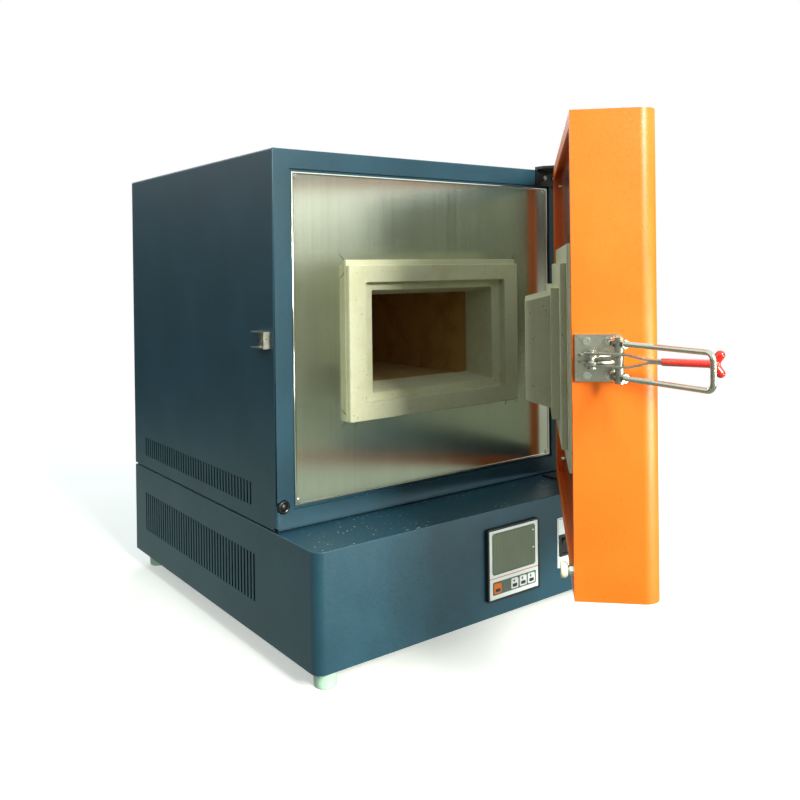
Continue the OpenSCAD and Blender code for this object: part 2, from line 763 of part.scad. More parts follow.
module door_insulation() {
    color("#e9e6da") at_door() difference() {
        slab(-side_x + 22, side_x - 36, door_out + door_sheet + 0.3, door_in - lip_d - plate_t - touch,
            door_lo + 20, door_hi - 20);
        for (p = door_screws) bar_y(p[0], p[1], 3, door_in - 26, door_in);
    }
}

module plug_back_board() {
    color("#d9d5b2") at_door() block(board_w, board_h, door_in - lip_d, door_in, mouth_z);
}

module plug_slab() {
    color("#ddd9b8") at_door() block(slab_w, slab_h, door_in, slab_y, mouth_z);
}

// Step that fills the recess, and the tapered nose with round upright corners.
module plug_nose() {
    w = step_w - 44;
    color("#e2dec0") at_door() {
        block(step_w, step_h, slab_y, step_y, mouth_z);
        intersection() {
            translate([-w, 0, mouth_z]) rotate([90, 0, 90]) linear_extrude(2 * w)
                polygon([[step_y - 1, -64], [step_y - 1, 64], [nose_y, nose_h / 2], [nose_y, -nose_h / 2]]);
            translate([0, 0, mouth_z - 80]) linear_extrude(160) {
                polygon([[-w / 2, step_y - 1], [w / 2, step_y - 1], [nose_w / 2, nose_y - nose_r],
                    [-nose_w / 2, nose_y - nose_r]]);
                translate([-nose_w / 2 + nose_r, step_y]) square([nose_w - 2 * nose_r, nose_y - step_y]);
                for (x = [-1, 1]) translate([x * (nose_w / 2 - nose_r), nose_y - nose_r]) circle(nose_r);
            }
        }
    }
}

module hinge_bushes() {
    color("#b08d4a") at_door() translate([hinge_x, hinge_y, 0])
        for (z = [door_lo, door_hi - bush_len]) translate([0, 0, z]) difference() {
            cylinder(r = bush_r, h = bush_len);
            translate([0, 0, -1]) cylinder(r = pin_r + play, h = bush_len + 2);
        }
}

module pusher_screw() {
    color("silver") at_door() {
        bar_y(pusher_x, pusher_z, 2.5, door_in - lip_d - 3, door_in + pusher_len - 5);
        stand_nut(door_in - lip_d, 4);
        stand_nut(door_in, 4);
    }
}

module stand_nut(y, t) {
    translate([pusher_x, y + t, pusher_z]) rotate([90, 0, 0]) cylinder(r = 4.6, h = t, $fn = 6);
}

module pusher_disc() {
    color("#eceee2") at_door() difference() {
        bar_y(pusher_x, pusher_z, 8, door_in + pusher_len - 7, door_in + pusher_len);
        bar_y(pusher_x, pusher_z, 2.5 + touch, door_in, door_in + pusher_len - 5 + touch);
    }
}

// ---- latch ----

module latch_base() {
    color("#b9bab4") at_latch() difference() {
        union() {
            translate([2.5, 0, -latch_plate[1] / 2]) cube([latch_plate[0], latch_sheet, latch_plate[1]]);
            for (z = [-1, 1]) translate([0, 0, z * (ear_in + ear_t / 2) - ear_t / 2])
                linear_extrude(ear_t) {
                    polygon([[5, 1], [38, 1], [38, 5], [24, 15], [pivot[0], pivot[1] + 7],
                        [pivot[0] - 7, pivot[1]]]);
                    translate(pivot) circle(7);
                }
        }
        for (p = latch_at) translate([p[0], -1, p[1]]) rotate([-90, 0, 0]) cylinder(r = 2.1, h = 6);
        translate([pivot[0], pivot[1], -10]) cylinder(r = 3 + touch, h = 20);
    }
}

module latch_screws() {
    color("silver") at_latch() for (p = latch_at) translate([p[0], 0, p[1]]) rotate([-90, 0, 0]) {
        translate([0, 0, -8]) cylinder(r = 2, h = 8 + latch_sheet);
        translate([0, 0, latch_sheet]) difference() {
            cylinder(r = 3.6, h = 3.2);
            translate([0, 0, 1.4]) cylinder(r = 1.9, h = 3, $fn = 6);
        }
    }
}

module latch_pin() {
    half = strap_in + strap_t + 0.4;
    color("silver") at_latch() translate([pivot[0], pivot[1], -half]) {
        cylinder(r = 3, h = 2 * half);
        for (z = [-1.6, 2 * half]) translate([0, 0, z]) cylinder(r = 4.4, h = 1.6);
    }
}

// Two straps side by side: apart at the pin and the cross bar, together at the grip.
module latch_handle() {
    color("#b9bab4") at_handle() difference() {
        intersection() {
            for (z = [-1, 1]) scale_z(z) translate([0, 20, 0]) rotate([90, 0, 0]) linear_extrude(40)
                polygon([[-8, strap_in], [34, strap_in], [52, 0.1], [strap_end, 0.1],
                    [strap_end, 0.1 + strap_t], [53, 0.1 + strap_t], [35, strap_in + strap_t],
                    [-8, strap_in + strap_t]]);
            translate([0, 0, -20]) linear_extrude(40) {
                circle(7);
                polygon([[0, -7], [30, -5], [54, -4.4], [strap_end, -4], [strap_end, 4],
                    [54, 4.4], [34, 8.4], [22, 9], [0, 7]]);
            }
        }
        translate([0, 0, -20]) cylinder(r = 3 + play, h = 40);
        rotate([0, 0, arm_rise]) translate([arm, 0, -20]) cylinder(r = bar_r + play, h = 40);
    }
}

// Mirrors in Z when s is -1.
module scale_z(s) { mirror([0, 0, s < 0 ? 1 : 0]) children(); }

// Dipped grip: a flat oval stem and two round lobes across its end.
module handle_grip() {
    color("#ff2a1c") at_handle() difference() {
        union() {
            hull() {
                translate([grip_from + 2, 0, 0]) scale([0.5, 1, 0.58]) sphere(5.6, $fn = 32);
                translate([handle_len - 10, 0, 0]) scale([1, 1, 0.58]) sphere(6, $fn = 32);
            }
            for (z = [-1, 1]) hull() {
                translate([handle_len - 10, 0, 0]) sphere(4.3, $fn = 32);
                translate([handle_len - 4, 0, z * 8]) sphere(3.9, $fn = 32);
            }
        }
        translate([grip_from - 5, -4.6, -2.2]) cube([strap_end + 0.2 - grip_from + 5, 9.2, 4.4]);
    }
}

module trunnion_bar() {
    color("#a9aaa4") at_bail() difference() {
        translate([0, 0, -bar_len / 2]) cylinder(r = bar_r, h = bar_len);
        for (z = [-1, 1]) translate([-10, 0, z * bail_w / 2]) rotate([0, 90, 0])
            cylinder(r = bail_wire / 2 + touch, h = 20);
    }
}

module bail() {
    bend = 6.5;
    r = bail_wire / 2;
    color("#b4b6ae") at_bail() {
        for (z = [-1, 1]) translate([-12, 0, z * bail_w / 2]) rotate([0, 90, 0])
            cylinder(r = r, h = bail_len - bend + 12);
        for (z = [-1, 1]) scale_z(z) translate([bail_len - bend, 0, bail_w / 2 - bend])
            rotate([-90, 0, 0]) rotate_extrude(angle = -90) translate([bend, 0]) circle(r);
        translate([bail_len, 0, -bail_w / 2 + bend]) cylinder(r = r, h = bail_w - 2 * bend);
    }
}

module bail_nuts() {
    color("silver") at_bail() for (z = [-1, 1], x = [-bar_r - 4.3, bar_r + 0.3])
        translate([x, 0, z * bail_w / 2]) rotate([0, 90, 0]) difference() {
            cylinder(r = 4.6, h = 4, $fn = 6);
            translate([0, 0, -1]) cylinder(r = bail_wire / 2 + touch, h = 6);
        }
}

// ---- assembly ----

base_housing();
base_floor();
base_rear_panel();
seam_strip();
feet();
cable_gland();
body_shell();
body_rear_panel();
case_screws();
front_plate();
front_screws();
mouth_collar();
mouth_frame();
inner_casing();
insulation_boards();
chamber_left();
chamber_right();
chamber_roof();
chamber_floor();
chamber_rear();
heating_elements();
thermocouple();
vent_tube();
keeper();
door_switch_body();
door_switch_button();
hinge_bracket_top();
hinge_bracket_bottom();
hinge_pins();
controller_case();
controller_bezel();
controller_face();
display_window();
button_set();
button_left();
button_down();
button_up();
legend_plate();
switch_frame();
power_rocker();
power_regulator();
terminal_block();
door_shell();
door_plate();
door_plate_screws();
door_insulation();
plug_back_board();
plug_slab();
plug_nose();
hinge_bushes();
pusher_screw();
pusher_disc();
latch_base();
latch_screws();
latch_pin();
latch_handle();
handle_grip();
trunnion_bar();
bail();
bail_nuts();
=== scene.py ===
# %% [markdown]
# # A bench-top pottery kiln
# The kiln is a blue steel case with an orange door, a fibre-lined chamber and a
# control base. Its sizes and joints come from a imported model, which is loaded
# first and never moved. This lesson gives it its finishes, rounds the edges that
# a press or a saw would leave round, and adds the small things that a solid
# model leaves out, such as threads, hems and printed marks.

import json
import math

import bmesh
import bpy
import numpy as np
from mathutils import Matrix, Vector


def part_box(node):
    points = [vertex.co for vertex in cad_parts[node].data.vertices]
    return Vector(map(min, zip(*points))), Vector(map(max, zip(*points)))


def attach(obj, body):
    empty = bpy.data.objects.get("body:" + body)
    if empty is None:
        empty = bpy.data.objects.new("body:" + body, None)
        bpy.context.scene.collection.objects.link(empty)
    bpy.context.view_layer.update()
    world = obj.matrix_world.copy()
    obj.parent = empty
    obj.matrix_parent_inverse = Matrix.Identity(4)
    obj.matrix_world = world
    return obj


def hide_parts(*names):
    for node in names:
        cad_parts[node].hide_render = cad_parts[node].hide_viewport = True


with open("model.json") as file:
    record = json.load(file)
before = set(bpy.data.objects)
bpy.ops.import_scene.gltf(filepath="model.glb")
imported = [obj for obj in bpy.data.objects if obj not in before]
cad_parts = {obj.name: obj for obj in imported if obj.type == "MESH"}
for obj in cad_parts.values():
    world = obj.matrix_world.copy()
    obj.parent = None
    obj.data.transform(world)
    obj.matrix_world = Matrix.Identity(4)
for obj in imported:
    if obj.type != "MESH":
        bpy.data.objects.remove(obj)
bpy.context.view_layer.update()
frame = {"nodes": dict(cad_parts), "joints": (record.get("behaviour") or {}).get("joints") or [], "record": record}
nodes, record = frame["nodes"], frame["record"]
body_of = {n: b for b, ns in record["behaviour"]["bodies"].items() for n in ns}
slot_of = {p["node"]: p["material_slot"] for p in record["subparts"]}
joint = {j["name"]: j for j in frame["joints"]}
MM = 0.001

# %% [markdown]
# ## The camera
# The kiln stands at eye level and is seen from its front left corner, with its
# upright edges nearly parallel. A level camera with the lens shifted down does
# that: tilting it would make the uprights lean together instead.

# %% The camera
YAW_PITCH_ROLL_DEG = (36.93, -0.356, -0.693)
CAMERA_AT = (-0.74658, -1.10873, 0.48732)
SENSOR_MM, LENS_MM, SHIFT_UP = 36.0, 38.045, -0.1582


def camera_axes(yaw, pitch, roll):
    """Right, up and forward of a camera turned yaw from +Y towards +X, then tilted and rolled."""
    forward = np.array([math.sin(yaw) * math.cos(pitch), math.cos(yaw) * math.cos(pitch),
                        math.sin(pitch)])
    level = np.array([math.cos(yaw), -math.sin(yaw), 0.0])
    lift = np.cross(level, forward)
    right = level * math.cos(roll) + lift * math.sin(roll)
    up = lift * math.cos(roll) - level * math.sin(roll)
    return right, up, forward


right, up, forward = camera_axes(*np.radians(YAW_PITCH_ROLL_DEG))
lens_data = bpy.data.cameras.new("camera")
lens_data.sensor_width, lens_data.lens, lens_data.shift_y = SENSOR_MM, LENS_MM, SHIFT_UP
camera = bpy.data.objects.new("camera", lens_data)
bpy.context.scene.collection.objects.link(camera)
pose = np.eye(4)
pose[:3, 0], pose[:3, 1], pose[:3, 2] = right, up, -forward
pose[:3, 3] = CAMERA_AT
camera.matrix_world = Matrix(pose.tolist())
bpy.context.scene.camera = camera
print("camera at", [round(v, 3) for v in camera.location])

# %% [markdown]
# ## Small tools for materials
# Colours are written as sRGB hex values, because that is how a paint is named
# and picked, and one function turns them to the linear values that the shader
# adds up. One more function adds a node, sets it and links it.

# %% Colour and node tools
def linear(hex_colour):
    """sRGB to linear: v/12.92 for the darkest values, and ((v + 0.055)/1.055)^2.4 above them."""
    v = np.array([int(hex_colour[i:i + 2], 16) for i in (1, 3, 5)]) / 255
    return (*np.where(v <= 0.04045, v / 12.92, ((v + 0.055) / 1.055) ** 2.4), 1.0)


def shades(base, *factors):
    """The colour base made darker or lighter by each factor, as linear values."""
    return [(*(min(1.0, c * k) for c in linear(base)[:3]), 1.0) for k in factors]


def add(tree, kind, inputs=None, **settings):
    """Adds a node: settings are its properties, inputs its sockets' values or the links to them."""
    node = tree.nodes.new(kind)
    for key, value in settings.items():
        setattr(node, key, value)
    for key, value in (inputs or {}).items():
        if isinstance(value, bpy.types.NodeSocket):
            tree.links.new(value, node.inputs[key])
        else:
            node.inputs[key].default_value = value
    return node


def material(name, base, roughness, **sockets):
    """A Principled material with constants on its sockets.

    Returns it, its tree, its shader and the object's own coordinates.
    """
    made = bpy.data.materials.new(name)
    made.use_nodes = True
    tree = made.node_tree
    shader = tree.nodes["Principled BSDF"]
    shader.inputs["Base Color"].default_value = linear(base)
    shader.inputs["Roughness"].default_value = roughness
    for key, value in sockets.items():
        shader.inputs[key.replace("_", " ")].default_value = value
    made.diffuse_color = linear(base)
    place = add(tree, "ShaderNodeTexCoord").outputs["Object"]
    return made, tree, shader, place


def grain(tree, place, size_mm, detail=2.0, stretch=(1, 1, 1), rough=0.5):
    """Noise whose features are about size_mm across, longer along an axis where stretch is above 1."""
    scaled = add(tree, "ShaderNodeMapping", {"Vector": place, "Scale": tuple(1 / s for s in stretch)})
    return add(tree, "ShaderNodeTexNoise", {"Vector": scaled.outputs["Vector"],
               "Scale": 1 / (size_mm * MM), "Detail": detail, "Roughness": rough}).outputs["Fac"]


def ramp(tree, factor, stops, interpolation="LINEAR"):
    """A colour for each value of factor; stops are (value, hex colour)."""
    node = add(tree, "ShaderNodeValToRGB", {"Fac": factor})
    band = node.color_ramp
    band.interpolation = interpolation
    while len(band.elements) < len(stops):
        band.elements.new(1.0)
    for element, (at, colour) in zip(band.elements, stops):
        element.position, element.color = at, linear(colour)
    return node.outputs["Color"]


def level(tree, factor, low, high, to_low=0.0, to_high=1.0):
    """factor carried from low..high to to_low..to_high, and held at the ends."""
    return add(tree, "ShaderNodeMapRange", {"Value": factor, "From Min": low, "From Max": high,
               "To Min": to_low, "To Max": to_high}).outputs["Result"]


def calc(tree, operation, a, b=0.0):
    """One step of arithmetic on sockets or numbers."""
    return add(tree, "ShaderNodeMath", {0: a, 1: b}, operation=operation).outputs[0]


def panel(tree, place, middle, half_mm, corner_mm):
    """Signed distance in mm, in X and Z, to a rectangle with round corners: below 0 inside it."""
    moved = add(tree, "ShaderNodeVectorMath", {0: place, 1: (middle[0], 0, middle[1])},
                operation="SUBTRACT").outputs[0]
    xyz = add(tree, "ShaderNodeSeparateXYZ", {"Vector": moved}).outputs
    qx, qz = (calc(tree, "SUBTRACT", calc(tree, "MULTIPLY", calc(tree, "ABSOLUTE", xyz[axis]), 1000.0),
                   half - corner_mm) for axis, half in (("X", half_mm[0]), ("Z", half_mm[1])))
    ox, oz = calc(tree, "MAXIMUM", qx), calc(tree, "MAXIMUM", qz)
    outside = calc(tree, "SQRT", calc(tree, "ADD", calc(tree, "MULTIPLY", ox, ox),
                                      calc(tree, "MULTIPLY", oz, oz)))
    inside = calc(tree, "MINIMUM", calc(tree, "MAXIMUM", qx, qz))
    return calc(tree, "SUBTRACT", calc(tree, "ADD", outside, inside), corner_mm)


def blend_colour(tree, factor, first, second):
    """first where factor is 0 and second where it is 1; each is a hex colour or a socket."""
    node = add(tree, "ShaderNodeMix", data_type="RGBA")
    for key, value in (("Factor", factor), (6, first), (7, second)):
        if isinstance(value, bpy.types.NodeSocket):
            tree.links.new(value, node.inputs[key])
        else:
            node.inputs[key].default_value = linear(value) if isinstance(value, str) else value
    return node.outputs[2]


def bump(tree, shader, height, depth_mm, strength=1.0):
    """Turns height, 0 to 1, into slopes for a relief depth_mm deep."""
    node = add(tree, "ShaderNodeBump",
               {"Height": height, "Distance": depth_mm * MM, "Strength": strength})
    tree.links.new(node.outputs["Normal"], shader.inputs["Normal"])


# %% [markdown]
# ## Powder coat
# Both paints are textured powder coats: dry powder is sprayed on, baked, and
# draws together into small soft bumps about a millimetre across. The eye gets a
# dark colour under a soft sheen that breaks into grain. The bumps are drawn at
# about 2 mm, a little coarser than the real ones, so that they show.

# %% The blue and orange powder coats
def powder_coat(name, base, darker, lighter, roughness):
    """Cloudy colour over 90 mm, grain of 2 mm, and a sheen that changes with the grain."""
    made, tree, shader, place = material(name, base, roughness, IOR=1.5)
    cloud = grain(tree, place, size_mm=90, detail=3.0)
    fine = grain(tree, place, size_mm=2.1)
    tint = ramp(tree, cloud, [(0.3, darker), (0.5, base), (0.72, lighter)])
    grainy = blend_colour(tree, level(tree, fine, 0.35, 0.75, 0.0, 0.25), tint, lighter)
    tree.links.new(grainy, shader.inputs["Base Color"])
    tree.links.new(level(tree, fine, 0.3, 0.7, roughness - 0.07, roughness + 0.1),
                   shader.inputs["Roughness"])
    bump(tree, shader, fine, depth_mm=0.16, strength=0.55)
    return made, tree, shader, place, grainy


blue_coat, *blue_parts = powder_coat("slate blue textured powder coat",
                                     "#1b4253", "#183b4a", "#234b5c", roughness=0.38)
orange_coat, *_ = powder_coat("orange textured powder coat",
                              "#fb751b", "#f86f17", "#fd7d23", roughness=0.34)
print("coats:", blue_coat.name + ",", orange_coat.name)

# %% [markdown]
# Dust and fibre crumbs fall on the ledge whenever the door is opened. A crumb
# lies only where the surface faces up, so the crumbs' mask is multiplied by the
# upward part of the normal, and each crumb is a small cell of a Voronoi pattern.

# %% Fibre crumbs on the blue coat's upward faces
def dust_on(tree, shader, place, under):
    """Crumbs up to 2.4 mm across, where a 60 mm noise is high and the face looks up."""
    cells = add(tree, "ShaderNodeTexVoronoi", {"Vector": place, "Scale": 1 / (8 * MM)})
    crumb = level(tree, cells.outputs["Distance"], 0.09, 0.15, 1.0, 0.0)
    patch = level(tree, grain(tree, place, 60, 2.0), 0.42, 0.56)
    facing = add(tree, "ShaderNodeNewGeometry").outputs["Normal"]
    normal = add(tree, "ShaderNodeSeparateXYZ", {"Vector": facing})
    upward = level(tree, normal.outputs["Z"], 0.9, 0.99)
    mask = calc(tree, "MULTIPLY", calc(tree, "MULTIPLY", crumb, patch), upward)
    tree.links.new(blend_colour(tree, mask, under, "#e6e8d6"), shader.inputs["Base Color"])


dust_on(*blue_parts)
print("crumbs on:", blue_coat.name)

# %% [markdown]
# ## Stainless steel and other bright metal
# The front plate is brushed stainless sheet: a belt has drawn fine upright
# scratches, so the metal looks striped up and down and its reflections smear
# sideways. Noise stretched 200 times along Z gives the stripes, in the colour
# and the roughness. The scratches are drawn 1.2 mm apart, much coarser than the
# belt's grit, so that they show from a metre away. Metal that is turned, cast or
# galvanised has a shallow relief as well.

# %% Metals
def bright_metal(name, base, roughness, lay=None, *, spread, line_mm=1.2, relief=0.02):
    """Metal whose grain follows the axis lay ("X", "Y" or "Z"), or has no direction."""
    made, tree, shader, place = material(name, base, roughness, Metallic=1.0)
    long_lines, long_cloud = (tuple(times if axis == lay else 1 for axis in "XYZ")
                              for times in (200, 6))
    lines = grain(tree, place, line_mm, 3.0, long_lines, 0.6)
    cloud = grain(tree, place, 45, 2.0, long_cloud)
    shade = calc(tree, "ADD", lines, cloud)
    tree.links.new(blend_colour(tree, level(tree, shade, 0.75, 1.3), *shades(base, 0.93, 1.05)),
                   shader.inputs["Base Color"])
    tree.links.new(level(tree, lines, 0.3, 0.7, roughness - spread, roughness + spread),
                   shader.inputs["Roughness"])
    if relief:
        bump(tree, shader, lines, relief, 0.5)
    return made


brushed_stainless = bright_metal("stainless steel, brushed upright", "#d8dbce", 0.19, "Z",
                                 spread=0.02, relief=0)
polished_stainless = bright_metal("stainless steel, mill polished", "#dcded4", 0.12, "Z",
                                  spread=0.02, line_mm=2.0, relief=0)
latch_stainless = bright_metal("stainless steel, tumbled", "#b0afa2", 0.3,
                               spread=0.04, line_mm=3.0, relief=0)
zinc_screws = bright_metal("steel, bright zinc plated", "#d2d3cb", 0.22,
                           spread=0.04, line_mm=2.0, relief=0)
# Galvanised sheet whose colour is set darker than bare zinc: painted shade for sheet that sits in shadow.
zinc_sheet_with_painted_shade = bright_metal("steel sheet, hot-dip galvanised, darkened as painted shade", "#6d7272", 0.5, spread=0.1, line_mm=14.0)
oxidised_wire = bright_metal("resistance alloy, oxidised", "#4a3f36", 0.7, spread=0.1, line_mm=3.0)
turned_brass = bright_metal("brass, turned", "#b08d4a", 0.25, "Z", spread=0.05, line_mm=0.6)
cast_fins = bright_metal("aluminium, black anodised", "#3a3d40", 0.45, "Z", spread=0.06, line_mm=1.0)
print("materials so far:", len(bpy.data.materials))

# %% [markdown]
# ## Ceramic fibre board
# The mouth, the plug and the chamber are vacuum-formed fibre board: white fibre
# with a clay binder, drawn against a mesh and dried. It is quite matt and a
# little fuzzy, cream rather than white, with brown specks of unfibred melt. The
# chamber's boards get a warmer, darker tan: painted shade for the dim chamber.
# Specks are small Voronoi cells of two sizes, and the fuzz is noise at 1.5 mm.

# %% Fibre boards
def fibre_board(name, pale, warm, speck, speck_share=0.3, fuzz=0.35):
    """Cloudy cream from pale to warm, with specks in one cell out of several and a fuzzy relief."""
    made, tree, shader, place = material(name, pale, 0.93, IOR=1.45, Sheen_Weight=0.15,
                                         Sheen_Roughness=0.6, Specular_IOR_Level=0.25)
    cloud = grain(tree, place, 38, 4.0, (1, 1, 1), 0.6)
    tint = ramp(tree, cloud, [(0.32, warm), (0.52, pale), (0.7, pale)])
    fuzzy = grain(tree, place, 1.6, 3.0)
    tint = blend_colour(tree, level(tree, fuzzy, 0.42, 0.72, 0.0, 0.6), tint, warm)
    for spacing, share in ((7.0, speck_share), (3.4, speck_share * 0.7)):
        cells = add(tree, "ShaderNodeTexVoronoi", {"Vector": place, "Scale": 1 / (spacing * MM)})
        inside = level(tree, cells.outputs["Distance"], 0.07, 0.16, 1.0, 0.0)
        chosen = add(tree, "ShaderNodeSeparateColor", {"Color": cells.outputs["Color"]})
        kept = level(tree, chosen.outputs["Red"], share, share + 0.02, 0.85, 0.0)
        tint = blend_colour(tree, calc(tree, "MULTIPLY", inside, kept), tint, speck)
    tree.links.new(tint, shader.inputs["Base Color"])
    bump(tree, shader, fuzzy, fuzz, 0.6)
    return made


cream_board = fibre_board("ceramic fibre board, vacuum formed", "#dfdfc2", "#d6d3af", "#8b7c52")
# The chamber's tan is painted shade: its fibre board is made warmer and darker because the chamber is dim.
shade_tinted_board = fibre_board("ceramic fibre board, tan as painted shade", "#d8b26a", "#c2984f", "#6a4a1c")
white_ceramic = fibre_board("alumina ceramic, unglazed", "#e6e1d2", "#dcd5c0", "#9a8c70",
                            speck_share=0.02, fuzz=0.1)
print("boards:", cream_board.name + ",", shade_tinted_board.name + ",", white_ceramic.name)

# %% [markdown]
# ## Plastics, rubber and nylon
# The controller and the switch are moulded in black and white plastic with a
# fine matt spark-eroded texture, which is noise under a millimetre. The feet are
# milky nylon, so a little light goes in and comes out again beside where it
# entered: that is subsurface scattering of about 3 mm. The grip was dipped in
# liquid vinyl, which leaves a smooth, glossy, slightly wavy skin.

# %% Plastics
def moulded(name, base, roughness, size_mm=0.8, relief=0.03, shift=0.06, **sockets):
    """A moulded plastic: fine texture in the relief and the sheen, and a slight cloud in the colour."""
    made, tree, shader, place = material(name, base, roughness, **sockets)
    fine = grain(tree, place, size_mm)
    cloud = level(tree, grain(tree, place, 22, 3.0), 0.35, 0.65)
    tree.links.new(blend_colour(tree, cloud, *shades(base, 1 - shift, 1 + shift)),
                   shader.inputs["Base Color"])
    tree.links.new(level(tree, fine, 0.3, 0.7, roughness - 0.04, roughness + 0.05),
                   shader.inputs["Roughness"])
    bump(tree, shader, fine, relief, 0.5)
    return made


black_plastic = moulded("ABS, black, moulded", "#17191b", 0.36, IOR=1.53)
black_rubber = moulded("rubber, black, moulded", "#0c0d0e", 0.3, 1.5, 0.05, IOR=1.52)
black_paint = moulded("stove enamel, satin black", "#16191c", 0.33, 1.8, 0.06, IOR=1.5)
seal_strip = moulded("sponge rubber, black", "#07090a", 0.8, 1.5, 0.1, IOR=1.5)
white_plastic = moulded("polycarbonate, white, moulded", "#e9efec", 0.3, IOR=1.58)
key_rubber = moulded("silicone rubber, white", "#eef2f0", 0.45, 0.9, 0.03, IOR=1.43)
orange_rubber = moulded("silicone rubber, orange", "#f07a1e", 0.45, 0.9, 0.03, IOR=1.43)
mark_ink = moulded("screen print, black", "#20242a", 0.5, 0.8, 0.01, IOR=1.5)
clear_nylon = moulded("nylon, natural, moulded", "#c8ecd2", 0.34, 2.5, 0.05, IOR=1.53,
                      Subsurface_Weight=0.5, Subsurface_Scale=0.003, Subsurface_Radius=(1.0, 1.1, 0.8))
cream_nylon = moulded("nylon, cream, turned", "#e4e3c8", 0.38, 1.5, 0.04, IOR=1.53,
                      Subsurface_Weight=0.3, Subsurface_Scale=0.002, Subsurface_Radius=(1.0, 0.9, 0.6))
red_vinyl = moulded("vinyl, red, dipped", "#e3200f", 0.24, 5.0, 0.25, 0.1, IOR=1.53,
                    Coat_Weight=0.5, Coat_Roughness=0.08)
print("materials so far:", len(bpy.data.materials))

# %% [markdown]
# ## The controller's face and its window
# The face is a white moulding with a printed orange line over a grey band, which
# holds the keys. The window is grey-green and crossed by the fine upright bars
# of a display that is off. Both patterns are plain bands along X or Z, so a
# sine or a step of the object's own coordinates draws them exactly.

# %% Printed face and display window
key_lo, key_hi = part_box("button_set")
last_lo, last_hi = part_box("button_up")
glass_lo, glass_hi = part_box("display_window")
legend_lo, legend_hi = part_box("legend_plate")


def middle_and_half(lo, hi, grow_mm=0.0):
    """Middle in X and Z, and half sizes in mm, of a box grown by grow_mm."""
    half = [(high - low) / 2 / MM + grow_mm for low, high in ((lo.x, hi.x), (lo.z, hi.z))]
    return ((lo.x + hi.x) / 2, (lo.z + hi.z) / 2), half


def step(tree, distance, edge=0.0, soft=0.12):
    """1 where a distance in mm is below edge, 0 above it."""
    return level(tree, distance, edge - soft, edge + soft, 1.0, 0.0)


def printed_face():
    """White plastic: a dark line round the window, an orange line and a grey band behind the keys."""
    made, tree, shader, place = material("polycarbonate, white, screen printed", "#eef6f5", 0.28,
                                         IOR=1.58)
    middle, half = middle_and_half(key_lo, last_hi)
    beside_keys, above_keys, line_drop, line_half = 2.4, 1.9, 4.6, 0.55
    band = panel(tree, place, middle, (half[0] + beside_keys, half[1] + above_keys), 2.0)
    tint = blend_colour(tree, step(tree, band), "#f1f8f7", "#5e6a60")
    line = panel(tree, place, (middle[0], glass_lo.z - line_drop * MM), (60, line_half), 0.0)
    tint = blend_colour(tree, step(tree, line), tint, "#e0803a")
    frame_line = panel(tree, place, *middle_and_half(glass_lo, glass_hi, 0.6), 2.5)
    tint = blend_colour(tree, step(tree, frame_line), tint, "#5d665c")
    tree.links.new(tint, shader.inputs["Base Color"])
    tree.links.new(level(tree, grain(tree, place, 1.0), 0.3, 0.7, 0.24, 0.34),
                   shader.inputs["Roughness"])
    bump(tree, shader, grain(tree, place, 0.9), 0.02, 0.4)
    return made


def display_glass():
    """Grey-green glass over upright bars, with round printed corners and two white ticks."""
    made, tree, shader, place = material("acrylic window, grey-green", "#6b7a68", 0.16, IOR=1.49)
    bar_pitch = 2.6 * MM
    across = add(tree, "ShaderNodeSeparateXYZ", {"Vector": place}).outputs["X"]
    wave = calc(tree, "SINE", calc(tree, "MULTIPLY", across, 2 * math.pi / bar_pitch))
    bars = blend_colour(tree, level(tree, wave, 0.2, 0.9), "#727c69", "#646f5d")
    cloud = level(tree, grain(tree, place, 30, 2.0), 0.4, 0.65, 0.0, 0.35)
    tint = blend_colour(tree, cloud, bars, "#7c8672")
    for share_up in (0.86, 0.42):
        tick_z = glass_lo.z + share_up * (glass_hi.z - glass_lo.z)
        tick = panel(tree, place, (glass_hi.x - 3.2 * MM, tick_z), (1.6, 0.8), 0.5)
        tint = blend_colour(tree, step(tree, tick), tint, "#eef6f5")
    edge = panel(tree, place, *middle_and_half(glass_lo, glass_hi, -0.1), 3.2)
    tint = blend_colour(tree, step(tree, edge, -0.7), "#3e463c", tint)
    tint = blend_colour(tree, step(tree, edge), "#f1f8f7", tint)
    tree.links.new(tint, shader.inputs["Base Color"])
    return made


def legend_print():
    """White plastic with a thin dark line 2 mm inside its edge."""
    made, tree, shader, place = material("polycarbonate, white, printed outline", "#eef6f5", 0.3,
                                         IOR=1.58)
    edge = panel(tree, place, *middle_and_half(legend_lo, legend_hi, -2.0), 1.0)
    ring = calc(tree, "MULTIPLY", step(tree, edge, 0.3), level(tree, edge, -0.42, -0.18))
    tree.links.new(blend_colour(tree, ring, "#f1f8f7", "#39434c"), shader.inputs["Base Color"])
    bump(tree, shader, grain(tree, place, 0.9), 0.02, 0.4)
    return made


face_print, window_glass, legend_finish = printed_face(), display_glass(), legend_print()
print("materials:", len(bpy.data.materials))

# %% [markdown]
# ## Which finish goes where
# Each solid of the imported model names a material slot, so one table from slot to
# finish dresses everything. Two plates share a slot with plain mouldings but are
# printed, so they have finishes of their own.

# %% Dress every solid
finish = {
    "blue_paint": blue_coat, "floor_steel": zinc_sheet_with_painted_shade, "dark_seal": seal_strip,
    "foot_nylon": clear_nylon, "black_plastic": black_plastic, "black_rubber": black_rubber,
    "bright_screws": zinc_screws, "brushed_plate": brushed_stainless,
    "polished_plate": polished_stainless, "fibre_board": cream_board,
    "chamber_board": shade_tinted_board, "element_alloy": oxidised_wire, "white_ceramic": white_ceramic,
    "latch_steel": latch_stainless, "black_paint": black_paint, "panel_white": white_plastic,
    "display_grey": window_glass, "key_orange": orange_rubber, "key_white": key_rubber,
    "regulator_metal": cast_fins, "orange_paint": orange_coat, "bush_brass": turned_brass,
    "white_nylon": cream_nylon, "red_grip": red_vinyl,
}


